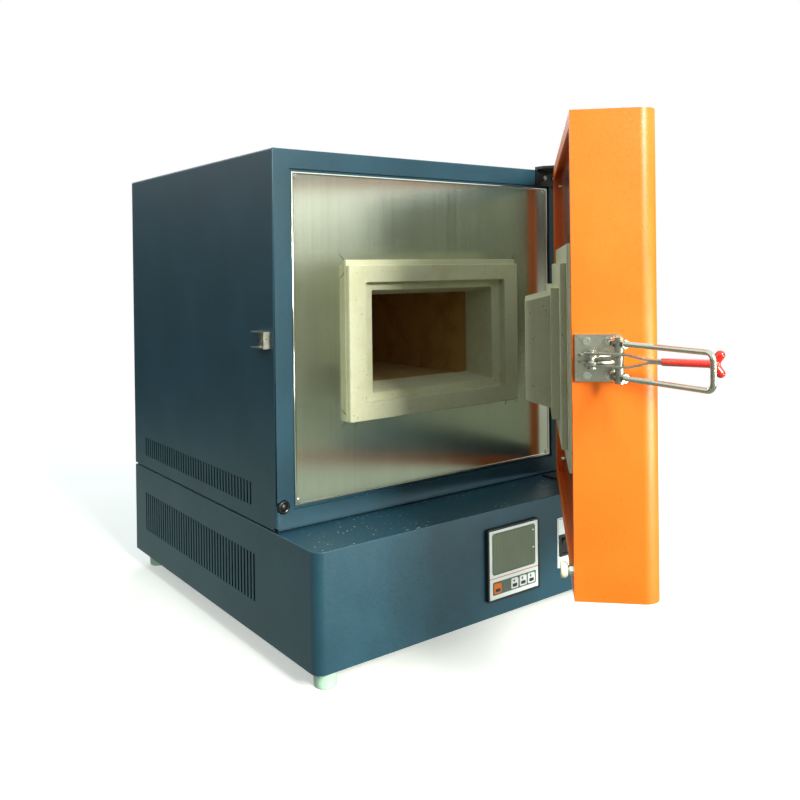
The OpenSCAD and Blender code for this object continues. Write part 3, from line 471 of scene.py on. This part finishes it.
def finish_for(node):
    """The finish of a solid: its slot's, apart from the two printed plates."""
    printed = {"controller_face": face_print, "legend_plate": legend_finish}
    return printed.get(node, finish[slot_of[node]])


for name, solid in nodes.items():
    solid.data.materials.clear()
    solid.data.materials.append(finish_for(name))
print("dressed:", len(nodes))

# %% [markdown]
# ## Soft edges
# No real edge is perfectly sharp: folded sheet has a bend radius, sawn board
# crumbles, and moulded plastic has a draft and a radius. Those edges catch the
# light, and much of what makes a thing look real is there. A copy of a solid is
# merged, its flat faces are joined, and a Bevel modifier rounds its corners. An
# edge's weight says how much of the full width it gets, so that one shell can
# have a wide bend on its outside and narrow edges at its slots.

# %% Rounding a solid's edges
WELD, SAME_PLANE, EDGE_ANGLE = 2e-6, math.radians(0.4), math.radians(30)


def softened(node, width_mm, segments=2, wide=None, wide_mm=0.0, clamp=True):
    """A merged copy of a solid with its edges over 30 degrees rounded.

    wide(ends) picks the edges that get wide_mm instead of width_mm.
    """
    mesh = nodes[node].data.copy()
    mesh.name = node + "_soft"
    shape = bmesh.new()
    shape.from_mesh(mesh)
    bmesh.ops.remove_doubles(shape, verts=shape.verts, dist=WELD)
    bmesh.ops.join_triangles(shape, faces=shape.faces, angle_face_threshold=SAME_PLANE,
                             angle_shape_threshold=math.pi)
    full = max(width_mm, wide_mm)
    weights = shape.edges.layers.float.new("bevel_weight_edge")
    for edge in shape.edges:
        if edge.is_manifold and edge.calc_face_angle(0.0) > EDGE_ANGLE:
            ends = np.array([v.co for v in edge.verts])
            edge[weights] = (wide_mm if wide and wide(ends) else width_mm) / full
            edge.smooth = edge[weights] > 0
    for face in shape.faces:
        face.smooth = True
    shape.to_mesh(mesh)
    shape.free()
    if "custom_normal" in mesh.attributes:
        mesh.attributes.remove(mesh.attributes["custom_normal"])
    piece = bpy.data.objects.new(node + "_soft", mesh)
    bpy.context.scene.collection.objects.link(piece)
    bevel = piece.modifiers.new("round edges", "BEVEL")
    bevel.limit_method, bevel.width, bevel.segments = "WEIGHT", full * MM, segments
    bevel.use_clamp_overlap, bevel.miter_outer = clamp, "MITER_ARC"
    flat = piece.modifiers.new("keep faces flat", "WEIGHTED_NORMAL")
    flat.mode, flat.weight, flat.keep_sharp = "FACE_AREA", 100, True
    return settle(piece, body_of[node], slot_of[node], node)


def settle(piece, body, slot, *stands_for):
    """Rides a finished piece on its body and hides the solids that it stands for; slot is not used."""
    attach(piece, body)
    if stands_for:
        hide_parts(*stands_for)
    return piece


# %% [markdown]
# The case is folded steel: its outer edges have a bend of nearly 2 mm, and the
# slots are punched, so theirs stay sharp.

# %% Case, base and door shell
body_lo, body_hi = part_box("body_shell")
base_lo, base_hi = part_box("base_housing")
NEAR, LIP, CORNER = 0.1 * MM, 4 * MM, 16 * MM


def on_body_front(ends):
    """Edges on the outline of the case's front face."""
    front = np.all(ends[:, 1] < body_lo.y + NEAR)
    outer = np.all((np.abs(ends[:, 0]) > body_hi.x - LIP) | (ends[:, 2] > body_hi.z - LIP)
                   | (ends[:, 2] < body_lo.z + LIP))
    return bool(front and outer)


def on_base_rim(ends):
    """Edges round the top of the base."""
    top = np.all(ends[:, 2] > base_hi.z - NEAR)
    outer = np.all((np.abs(ends[:, 0]) > base_hi.x - CORNER) | (ends[:, 1] < base_lo.y + CORNER))
    return bool(top and outer)


softened("body_shell", 0.0, 3, on_body_front, wide_mm=1.8, clamp=False)
softened("base_housing", 0.0, 3, on_base_rim, wide_mm=1.4, clamp=False)
softened("door_shell", 0.9, 3)
for node, width in {"body_rear_panel": 0.3, "base_rear_panel": 0.3, "hinge_bracket_top": 0.6,
                    "hinge_bracket_bottom": 0.5, "door_plate": 0.3, "keeper": 0.45,
                    "latch_base": 0.45, "latch_handle": 0.4, "front_plate": 0.35}.items():
    softened(node, width)

# %% Boards, mouldings and fittings
for node, width in {"mouth_frame": 1.6, "mouth_collar": 0.9, "plug_nose": 2.2, "plug_slab": 1.6,
                    "plug_back_board": 1.4, "chamber_floor": 1.0, "chamber_roof": 1.0,
                    "chamber_left": 0.8, "chamber_right": 0.8}.items():
    softened(node, width, 3)
for node, width in {"controller_bezel": 1.0, "controller_face": 0.25, "button_set": 0.35,
                    "button_left": 0.35, "button_down": 0.35, "button_up": 0.35, "legend_plate": 0.3,
                    "switch_frame": 0.7, "power_rocker": 0.7, "feet": 1.0, "cable_gland": 0.7,
                    "thermocouple": 0.8, "vent_tube": 0.8, "trunnion_bar": 0.5, "bail_nuts": 0.5,
                    "latch_pin": 0.5, "latch_screws": 0.45, "front_screws": 0.5, "case_screws": 0.5,
                    "door_plate_screws": 0.6, "hinge_pins": 0.6, "hinge_bushes": 0.5}.items():
    softened(node, width)

# %% [markdown]
# ## Surfaces from numbers
# The pieces below are grids: a point is worked out for every pair of two
# parameters, all at once as an array, and neighbouring points are joined into
# quads. A turned piece sweeps a profile round an axis, and a bent wire sweeps a
# circle along a path.

# %% Grid surfaces
def grid_mesh(name, points, close_u=False, close_v=False, cap=False):
    """A mesh from points of shape (nu, nv, 3), whose neighbours are joined by quads.

    A closed direction wraps round, and cap fills both ends of u.
    """
    nu, nv = points.shape[:2]
    u, v = np.meshgrid(np.arange(nu if close_u else nu - 1), np.arange(nv if close_v else nv - 1),
                       indexing="ij")
    u, v = u.ravel(), v.ravel()
    un, vn = (u + 1) % nu, (v + 1) % nv
    faces = np.stack([u * nv + v, un * nv + v, un * nv + vn, u * nv + vn], 1).tolist()
    if cap:
        faces += [list(range(nv)), list(range((nu - 1) * nv, nu * nv))[::-1]]
    mesh = bpy.data.meshes.new(name)
    mesh.from_pydata(points.reshape(-1, 3).tolist(), [], faces)
    shape = bmesh.new()
    shape.from_mesh(mesh)
    bmesh.ops.remove_doubles(shape, verts=shape.verts, dist=1e-6)
    bmesh.ops.recalc_face_normals(shape, faces=shape.faces)
    shape.to_mesh(mesh)
    shape.free()
    mesh.polygons.foreach_set("use_smooth", np.ones(len(mesh.polygons), bool))
    mesh.set_sharp_from_angle(angle=math.radians(38))
    piece = bpy.data.objects.new(name, mesh)
    bpy.context.scene.collection.objects.link(piece)
    return piece


def turned(name, profile_mm, centre, axis, steps=48):
    """Sweeps (distance along the axis, radius) pairs round the axis; the end radii are 0."""
    axis = np.array(axis, float) / np.linalg.norm(axis)
    side = np.cross(axis, [0, 0, 1.0] if abs(axis[2]) < 0.9 else [1.0, 0, 0])
    side /= np.linalg.norm(side)
    other = np.cross(axis, side)
    along, radius = np.array(profile_mm, float).T * MM
    turn = np.linspace(0, 2 * np.pi, steps, endpoint=False)
    ring = np.cos(turn)[:, None] * side + np.sin(turn)[:, None] * other
    points = np.array(centre) + along[:, None, None] * axis + radius[:, None, None] * ring[None]
    return grid_mesh(name, points, close_v=True)


def wire(name, path, radius):
    """Sweeps a circle along path, a flat smooth (n, 3) array; radius is an (n, steps) array."""
    tangent = np.gradient(path, axis=0)
    tangent /= np.linalg.norm(tangent, axis=1)[:, None]
    side = np.cross(tangent, plane_normal(path))
    side /= np.linalg.norm(side, axis=1)[:, None]
    other = np.cross(tangent, side)
    turn = np.linspace(0, 2 * np.pi, radius.shape[1], endpoint=False)
    points = path[:, None] + radius[..., None] * (np.cos(turn)[None, :, None] * side[:, None]
                                                  + np.sin(turn)[None, :, None] * other[:, None])
    return grid_mesh(name, points, close_v=True, cap=True)


def plane_normal(path):
    """The normal of the plane that a flat path lies in."""
    return np.linalg.svd(path - path.mean(0), full_matrices=False)[2][2]


# %% [markdown]
# ## The latch's wire bail
# The bail is a 5 mm rod with a thread rolled on both ends and bent to a U. The
# thread runs for 56 mm, so the bail can be set longer or shorter. A thread
# is a radius that falls and rises along the rod and round it together: the depth
# is a triangle wave of (distance / pitch - angle / a full turn), which climbs
# one pitch for each turn.

# %% The bail, with its threads
swing = math.radians(-joint["door_swing"]["range_deg"][0])
edge_in = np.array([math.sin(swing), -math.cos(swing), 0.0])
edge_off = np.array([-math.cos(swing), -math.sin(swing), 0.0])
bail_end = np.array(joint["bail_pivot"]["pos_m"])
bail_angle = math.radians(52.0)
leg = edge_in * math.cos(bail_angle) + edge_off * math.sin(bail_angle)
upward = np.array([0, 0, 1.0])
BAIL_LEN, BAIL_TAIL, BAIL_WIDTH = 105 * MM, 12 * MM, 31 * MM
BAIL_BEND, ROD_RADIUS, ROD_SIDES = 6.5 * MM, 2.5 * MM, 20


def bail_path(step=0.16 * MM):
    """Down one leg, round two quarter bends and back along the other, in even steps."""
    corner = np.linspace(0, np.pi / 2, 14)
    half = BAIL_WIDTH / 2
    flat = [(-BAIL_TAIL, -half), (BAIL_LEN - BAIL_BEND, -half)]
    flat += [(BAIL_LEN - BAIL_BEND + BAIL_BEND * math.sin(a),
              -half + BAIL_BEND - BAIL_BEND * math.cos(a)) for a in corner[1:]]
    flat += [(x, -z) for x, z in reversed(flat)]
    flat = np.array(flat)
    run = np.concatenate([[0], np.cumsum(np.linalg.norm(np.diff(flat, axis=0), axis=1))])
    at = np.linspace(0, run[-1], int(run[-1] / step))
    points = np.stack([np.interp(at, run, flat[:, k]) for k in (0, 1)], 1)
    return at, bail_end + points[:, :1] * leg + points[:, 1:] * upward


def threaded_radius(at, total, pitch=0.8 * MM, depth=0.42 * MM, length=56 * MM):
    """The rod's radius less a helical groove over `length` at both ends, which fades out over 3 mm."""
    turn = np.arange(ROD_SIDES) / ROD_SIDES
    near = np.minimum(at, total - at)
    phase = (at[:, None] / pitch - turn[None]) % 1
    groove = 1 - np.abs(2 * phase - 1)
    fade = np.clip((length - near) / (3 * MM), 0, 1)[:, None]
    return ROD_RADIUS - depth * groove * fade


along_rod, bail_points = bail_path()
bail_piece = wire("bail_threaded", bail_points, threaded_radius(along_rod, along_rod[-1]))
bail_piece.data.materials.append(latch_stainless)
settle(bail_piece, "wire_bail", "latch_steel", "bail")
print("bail:", len(bail_piece.data.polygons), "faces,", round(along_rod[-1] / MM), "mm of rod")

# %% [markdown]
# ## The dipped grip
# The grip is two straps with a skin of vinyl, thick where the liquid gathered
# and round everywhere. The solid's parts meet in creases that a dipped skin
# doesn't have, so a copy is rebuilt as one even mesh and smoothed.

# %% The grip
def dipped(node, voxel_mm, rounds, skin_mm):
    """A merged copy rebuilt with even cells and smoothed, so that its creases fill as in dipping."""
    mesh = nodes[node].data.copy()
    shape = bmesh.new()
    shape.from_mesh(mesh)
    bmesh.ops.remove_doubles(shape, verts=shape.verts, dist=1e-5)
    shape.to_mesh(mesh)
    shape.free()
    piece = bpy.data.objects.new(node + "_dipped", mesh)
    bpy.context.scene.collection.objects.link(piece)
    rebuild = piece.modifiers.new("even cells", "REMESH")
    rebuild.mode, rebuild.voxel_size, rebuild.use_smooth_shade = "VOXEL", voxel_mm * MM, True
    relax = piece.modifiers.new("fill creases", "SMOOTH")
    relax.factor, relax.iterations = 0.5, rounds
    swell = piece.modifiers.new("skin", "DISPLACE")
    swell.strength, swell.mid_level = skin_mm * MM, 0.0
    return settle(piece, body_of[node], slot_of[node], node)


grip = dipped("handle_grip", voxel_mm=0.6, rounds=6, skin_mm=0.22)
print("grip from", len(nodes["handle_grip"].data.polygons), "faces")

# %% [markdown]
# ## The door switch's button and the door's striker
# A black rubber cap covers the switch: a rim, a shallow groove and a dome. The
# striker on the door that faces it is a turned nylon disc with a shallow cone
# on its back. Both are profiles turned about the way that they move.

# %% Button and striker
button_lo, button_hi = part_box("door_switch_button")
button_c = (button_lo + button_hi) / 2
button_piece = turned("door_switch_cap", [
    (0.0, 0.0), (0.15, 2.0), (0.6, 3.4), (1.4, 4.3), (1.75, 4.7), (1.5, 5.2), (1.0, 5.9), (0.95, 6.5),
    (1.3, 7.3), (2.2, 8.0), (3.4, 8.2), (9.2, 8.2), (9.3, 5.0), (22.0, 5.0), (22.2, 0.0)],
    (button_c.x, button_lo.y, button_c.z), (0, 1, 0))
button_piece.data.materials.append(black_rubber)
settle(button_piece, "switch_button", "black_rubber", "door_switch_button")

inward = np.array([-math.sin(swing), math.cos(swing), 0.0])


def centre_of(node):
    """Middle of a solid, from its vertices."""
    spots = np.zeros(len(nodes[node].data.vertices) * 3)
    nodes[node].data.vertices.foreach_get("co", spots)
    spots = spots.reshape(-1, 3)
    return (spots.min(0) + spots.max(0)) / 2


disc_c = centre_of("pusher_disc")
disc = turned("striker_disc", [
    (-3.5, 0), (-3.5, 3.2), (-3.3, 5.6), (-2.4, 7.0), (-1.6, 7.6), (0.4, 8.0),
    (2.6, 8.0), (3.3, 7.6), (3.5, 6.9), (3.5, 0)], disc_c, inward)
disc.data.materials.append(cream_nylon)
settle(disc, "door", "white_nylon", "pusher_disc")
print("striker's middle:", np.round(disc_c, 4).tolist())

# %% [markdown]
# ## The front plate's hem
# The stainless plate's edge is folded back on itself, so that nobody is cut by
# it. The fold stands a little proud and shows as a bright line round the plate.
# It is one profile, flat behind and round in front, carried round a rectangle
# whose corners are mitred.

# %% The hem
plate_lo, plate_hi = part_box("front_plate")


def hem(name, width_mm=3.2, proud_mm=1.2):
    """A half-round profile of (inwards, outwards) points carried round the plate's outline."""
    angle = np.linspace(0, np.pi, 9)
    inwards = width_mm * (1 - np.cos(angle)) / 2
    outwards = proud_mm * np.sin(angle) ** 0.7
    behind = [[width_mm, -0.1], [0, -0.1]]
    profile = np.concatenate([np.stack([inwards, outwards], 1), behind]) * MM
    corners = [(plate_lo.x, plate_lo.z, 1, 1), (plate_hi.x, plate_lo.z, -1, 1),
               (plate_hi.x, plate_hi.z, -1, -1), (plate_lo.x, plate_hi.z, 1, -1)]
    rings = [np.stack([x + sx * profile[:, 0], plate_lo.y - profile[:, 1], z + sz * profile[:, 0]], 1)
             for x, z, sx, sz in corners]
    return grid_mesh(name, np.array(rings), close_u=True, close_v=True)


hem_piece = hem("front_plate_hem")
hem_piece.data.materials.append(polished_stainless)
settle(hem_piece, "kiln", "brushed_plate")
print("hem:", len(hem_piece.data.polygons), "faces")

# %% [markdown]
# ## Marks on the keys
# Each key has a black pill low down, which is the spot to press, and the white
# ones carry a small arrow above it. They are printed thick, a little over a tenth
# of a millimetre proud, so each is a flat outline given a thickness. It rides
# with its key.

# %% Key marks
def mark(name, node, outline_mm):
    """A flat outline in X and Z, standing just in front of a key's middle."""
    lo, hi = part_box(node)
    outline = np.array(outline_mm) * MM
    points = np.stack([(lo.x + hi.x) / 2 + outline[:, 0], np.full(len(outline), lo.y - 0.08 * MM),
                       (lo.z + hi.z) / 2 + outline[:, 1]], 1)
    mesh = bpy.data.meshes.new(name)
    mesh.from_pydata(points.tolist(), [], [list(range(len(points)))])
    piece = bpy.data.objects.new(name, mesh)
    bpy.context.scene.collection.objects.link(piece)
    thick = piece.modifiers.new("thickness", "SOLIDIFY")
    thick.thickness, thick.offset = 0.12 * MM, 0.0
    mesh.materials.append(mark_ink)
    return settle(piece, body_of[node], "black_plastic")


def pill(half_x, half_z, corner, up, steps=6):
    """A rectangle with round corners, its middle `up` mm above the key's middle."""
    turn = np.linspace(0, np.pi / 2, steps)
    quarters = ((1, 1, 0), (-1, 1, np.pi / 2), (-1, -1, np.pi), (1, -1, 1.5 * np.pi))
    return np.array([(sx * (half_x - corner) + corner * math.cos(a + start),
                      up + sz * (half_z - corner) + corner * math.sin(a + start))
                     for sx, sz, start in quarters for a in turn])


arrow = np.array([(0, 1.9), (-1.9, -0.3), (-0.8, -0.3), (-0.8, -1.9),
                  (0.8, -1.9), (0.8, -0.3), (1.9, -0.3)])
arrow_at = np.array([-1.6, 3.3])
for node, shape in (("button_up", arrow), ("button_down", arrow * (1, -1)),
                    ("button_left", arrow[:, ::-1] * (-1, 1)), ("button_set", None)):
    mark(node + "_pill", node, pill(4.3, 2.2, corner=1.3, up=-2.6))
    if shape is not None:
        mark(node + "_arrow", node, shape + arrow_at)

# %% [markdown]
# ## Slits at the corners of the mouth
# The plate is cut from the mouth's corners outwards, as if its inner edges had
# been turned in over the fibre. The cuts show as thin dark lines at 45 degrees,
# the shade inside each cut. Each is drawn as a narrow black wedge, painted shade,
# that stands 0.06 mm proud of the plate.

# %% Corner slits
mouth_lo, mouth_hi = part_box("mouth_frame")
collar_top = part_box("mouth_collar")[1].z
fronts = [v.co.y for v in nodes["front_plate"].data.vertices if v.co.y < plate_hi.y - 0.2 * MM]
plate_face = float(np.median(fronts))
print("plate face at", round(plate_face, 4), "of", round(plate_lo.y, 4), "to", round(plate_hi.y, 4))


def slit(name, x, z, sx, sz, length_mm=13.0, width_mm=0.9):
    """A wedge from the corner (x, z) outwards along (sx, sz), tapering to nothing."""
    along = np.array([sx, sz]) / math.sqrt(2)
    across = np.array([-along[1], along[0]])
    shoulder = length_mm * 0.6
    flat = np.array([(-2.0, 0.5), (shoulder, 0.4), (length_mm, 0.0), (shoulder, -0.4), (-2.0, -0.5)])
    spots = np.array([x, z]) + MM * (flat[:, :1] * along + flat[:, 1:] * width_mm * across)
    rings = [np.stack([spots[:, 0], np.full(len(flat), plate_face + depth * MM), spots[:, 1]], 1)
             for depth in (-0.06, 0.1)]
    piece = grid_mesh(name, np.array(rings), close_v=True, cap=True)
    # The wedge's black is painted shade for the dark gap of the cut.
    piece.data.materials.append(seal_strip)
    return settle(piece, "kiln", "dark_seal")


for i, (x, sx) in enumerate(((mouth_lo.x, -1), (mouth_hi.x, 1))):
    for k, (z, sz) in enumerate(((mouth_lo.z, -1), (collar_top, 1))):
        slit(f"mouth_slit_{i}{k}", x, z, sx, sz)

# %% [markdown]
# ## Floor, walls of light and lamps
# The kiln stands on a pale floor. The main lamp is a soft box in front and a
# little to the left, a long low one lights the foot of the base, and a wide one
# stands behind on the right. The floor doesn't throw its light back on the
# paint, so the side that faces away stays deep. What the metal mirrors is a
# plain glow in place of the floor, which changes with distance.

# %% Floor and lamps
def flat_sheet(name, size):
    """A square in the plane z = 0."""
    grid = np.linspace(-size / 2, size / 2, 9)
    x, y = np.meshgrid(grid, grid, indexing="ij")
    return grid_mesh(name, np.stack([x, y, np.zeros_like(x)], -1))


def floor_finish():
    """Matt pale paint that turns to plain white light from 0.9 m to 2.4 m away, for the camera.

    Other rays see a glow: grey-green near the kiln, then pale in front and dark behind.
    """
    made, tree, shader, place = material("floor, pale matt", "#f2f4f2", 0.9, Emission_Strength=0.42)
    shader.inputs["Emission Color"].default_value = linear("#fafcfa")
    tint = blend_colour(tree, level(tree, grain(tree, place, 300, 2.0), 0.4, 0.6), "#f1f3f1", "#f5f6f4")
    tree.links.new(tint, shader.inputs["Base Color"])
    reach = add(tree, "ShaderNodeVectorMath", {0: place}, operation="LENGTH").outputs["Value"]
    white = add(tree, "ShaderNodeEmission", {"Color": linear("#ffffff"), "Strength": 1.0})
    for_eye = add(tree, "ShaderNodeMixShader",
                  {0: level(tree, reach, 0.9, 2.4), 1: shader.outputs[0], 2: white.outputs[0]})
    before = add(tree, "ShaderNodeSeparateXYZ", {"Vector": place}).outputs["Y"]
    distant = blend_colour(tree, level(tree, before, -1.6, -0.4), "#c4cabd", "#26251d")
    mirrored = blend_colour(tree, level(tree, reach, 0.9, 1.9), "#b4c2b0", distant)
    for_steel = add(tree, "ShaderNodeEmission", {"Color": mirrored, "Strength": 1.0})
    eye = add(tree, "ShaderNodeLightPath").outputs["Is Camera Ray"]
    both = add(tree, "ShaderNodeMixShader", {0: eye, 1: for_steel.outputs[0], 2: for_eye.outputs[0]})
    tree.links.new(both.outputs[0], tree.nodes["Material Output"].inputs["Surface"])
    return made


floor = flat_sheet("floor", 30.0)
floor.data.materials.append(floor_finish())
floor.visible_diffuse = False


def soft_box(name, azimuth, distance, height, size, watts, colour, aim=(0, -0.1, 0.36)):
    """A rectangle lamp; azimuth 0 is straight in front of the kiln and grows towards +X."""
    data = bpy.data.lights.new(name, "AREA")
    data.shape, data.size, data.size_y, data.energy = "RECTANGLE", *size, watts
    data.color = linear(colour)[:3]
    lamp = bpy.data.objects.new(name, data)
    round_to = math.radians(azimuth)
    lamp.location = (distance * math.sin(round_to), -distance * math.cos(round_to), height)
    towards = np.array(aim) - np.array(lamp.location)
    lamp.rotation_euler = Vector(towards).to_track_quat("-Z", "Y").to_euler()
    bpy.context.scene.collection.objects.link(lamp)


soft_box("main lamp", -7, 2.3, 1.2, (0.5, 0.55), 66, "#fdfff2")
soft_box("low lamp", 14, 2.1, 0.12, (1.3, 0.16), 22, "#fbfff6", aim=(0.05, -0.29, 0.09))
soft_box("back lamp", 150, 2.8, 1.9, (1.6, 1.2), 34, "#f2f8ff")
print("lamps:", len(bpy.data.lights))

# %% [markdown]
# The room that the polished steel shows isn't even: a pale ceiling over dark
# walls, one stretch of lighter wall behind on the left, and a narrow pale strip
# towards the camera. Diffuse light from the room is dimmer, dimmest from the
# left, and the camera itself sees plain white.

# %% The room
BACK_LEFT = (-0.862, 0.507, 0.0)
STRIP_AZIMUTH, STRIP_HALF = math.radians(-128.0), math.radians(3.4)
world = bpy.data.worlds.new("room")
bpy.context.scene.world = world
world.use_nodes = True
tree = world.node_tree
tree.nodes.clear()
toward = add(tree, "ShaderNodeTexCoord").outputs["Generated"]
axes = add(tree, "ShaderNodeSeparateXYZ", {"Vector": toward})
sees = add(tree, "ShaderNodeLightPath")

height = level(tree, axes.outputs["Z"], -0.4, 0.4)
bands = ramp(tree, height,
             [(0.0, "#3a3d32"), (0.4, "#1c1a13"), (0.5, "#080705"),
              (0.64, "#0b0a07"), (0.72, "#b9c4c0"), (1.0, "#dfe8e6")])
aside = add(tree, "ShaderNodeVectorMath", {0: toward, 1: BACK_LEFT},
            operation="DOT_PRODUCT").outputs["Value"]
upper = ramp(tree, height,
             [(0.0, "#b9c2b4"), (0.4, "#65705f"), (0.5, "#5c6654"),
              (0.56, "#b4bdb0"), (0.6, "#ffffff")])
mirrored = blend_colour(tree, level(tree, aside, 0.88, 0.96), bands, upper)
azimuth = calc(tree, "ARCTAN2", axes.outputs["Y"], axes.outputs["X"])
near_eye = add(tree, "ShaderNodeMath", {0: azimuth, 1: STRIP_AZIMUTH, 2: STRIP_HALF},
               operation="COMPARE").outputs[0]
mirrored = blend_colour(tree, near_eye, mirrored, "#b4bbae")
ambient = blend_colour(tree, level(tree, axes.outputs["X"], -0.7, 0.6), "#181d14", "#5c6260")
ambient = blend_colour(tree, level(tree, axes.outputs["Z"], 0.15, 0.8), ambient, "#7c8582")

soft = add(tree, "ShaderNodeBackground", {"Color": ambient, "Strength": 1.0})
shine = add(tree, "ShaderNodeBackground", {"Color": mirrored, "Strength": 2.2})
plain = add(tree, "ShaderNodeBackground", {"Color": linear("#ffffff"), "Strength": 1.0})
lit = add(tree, "ShaderNodeMixShader",
          {0: sees.outputs["Is Diffuse Ray"], 1: shine.outputs[0], 2: soft.outputs[0]})
seen = add(tree, "ShaderNodeMixShader",
           {0: sees.outputs["Is Camera Ray"], 1: lit.outputs[0], 2: plain.outputs[0]})
add(tree, "ShaderNodeOutputWorld", {"Surface": seen.outputs[0]})
bpy.context.scene.view_settings.view_transform = "Standard"
print("world nodes:", len(tree.nodes))
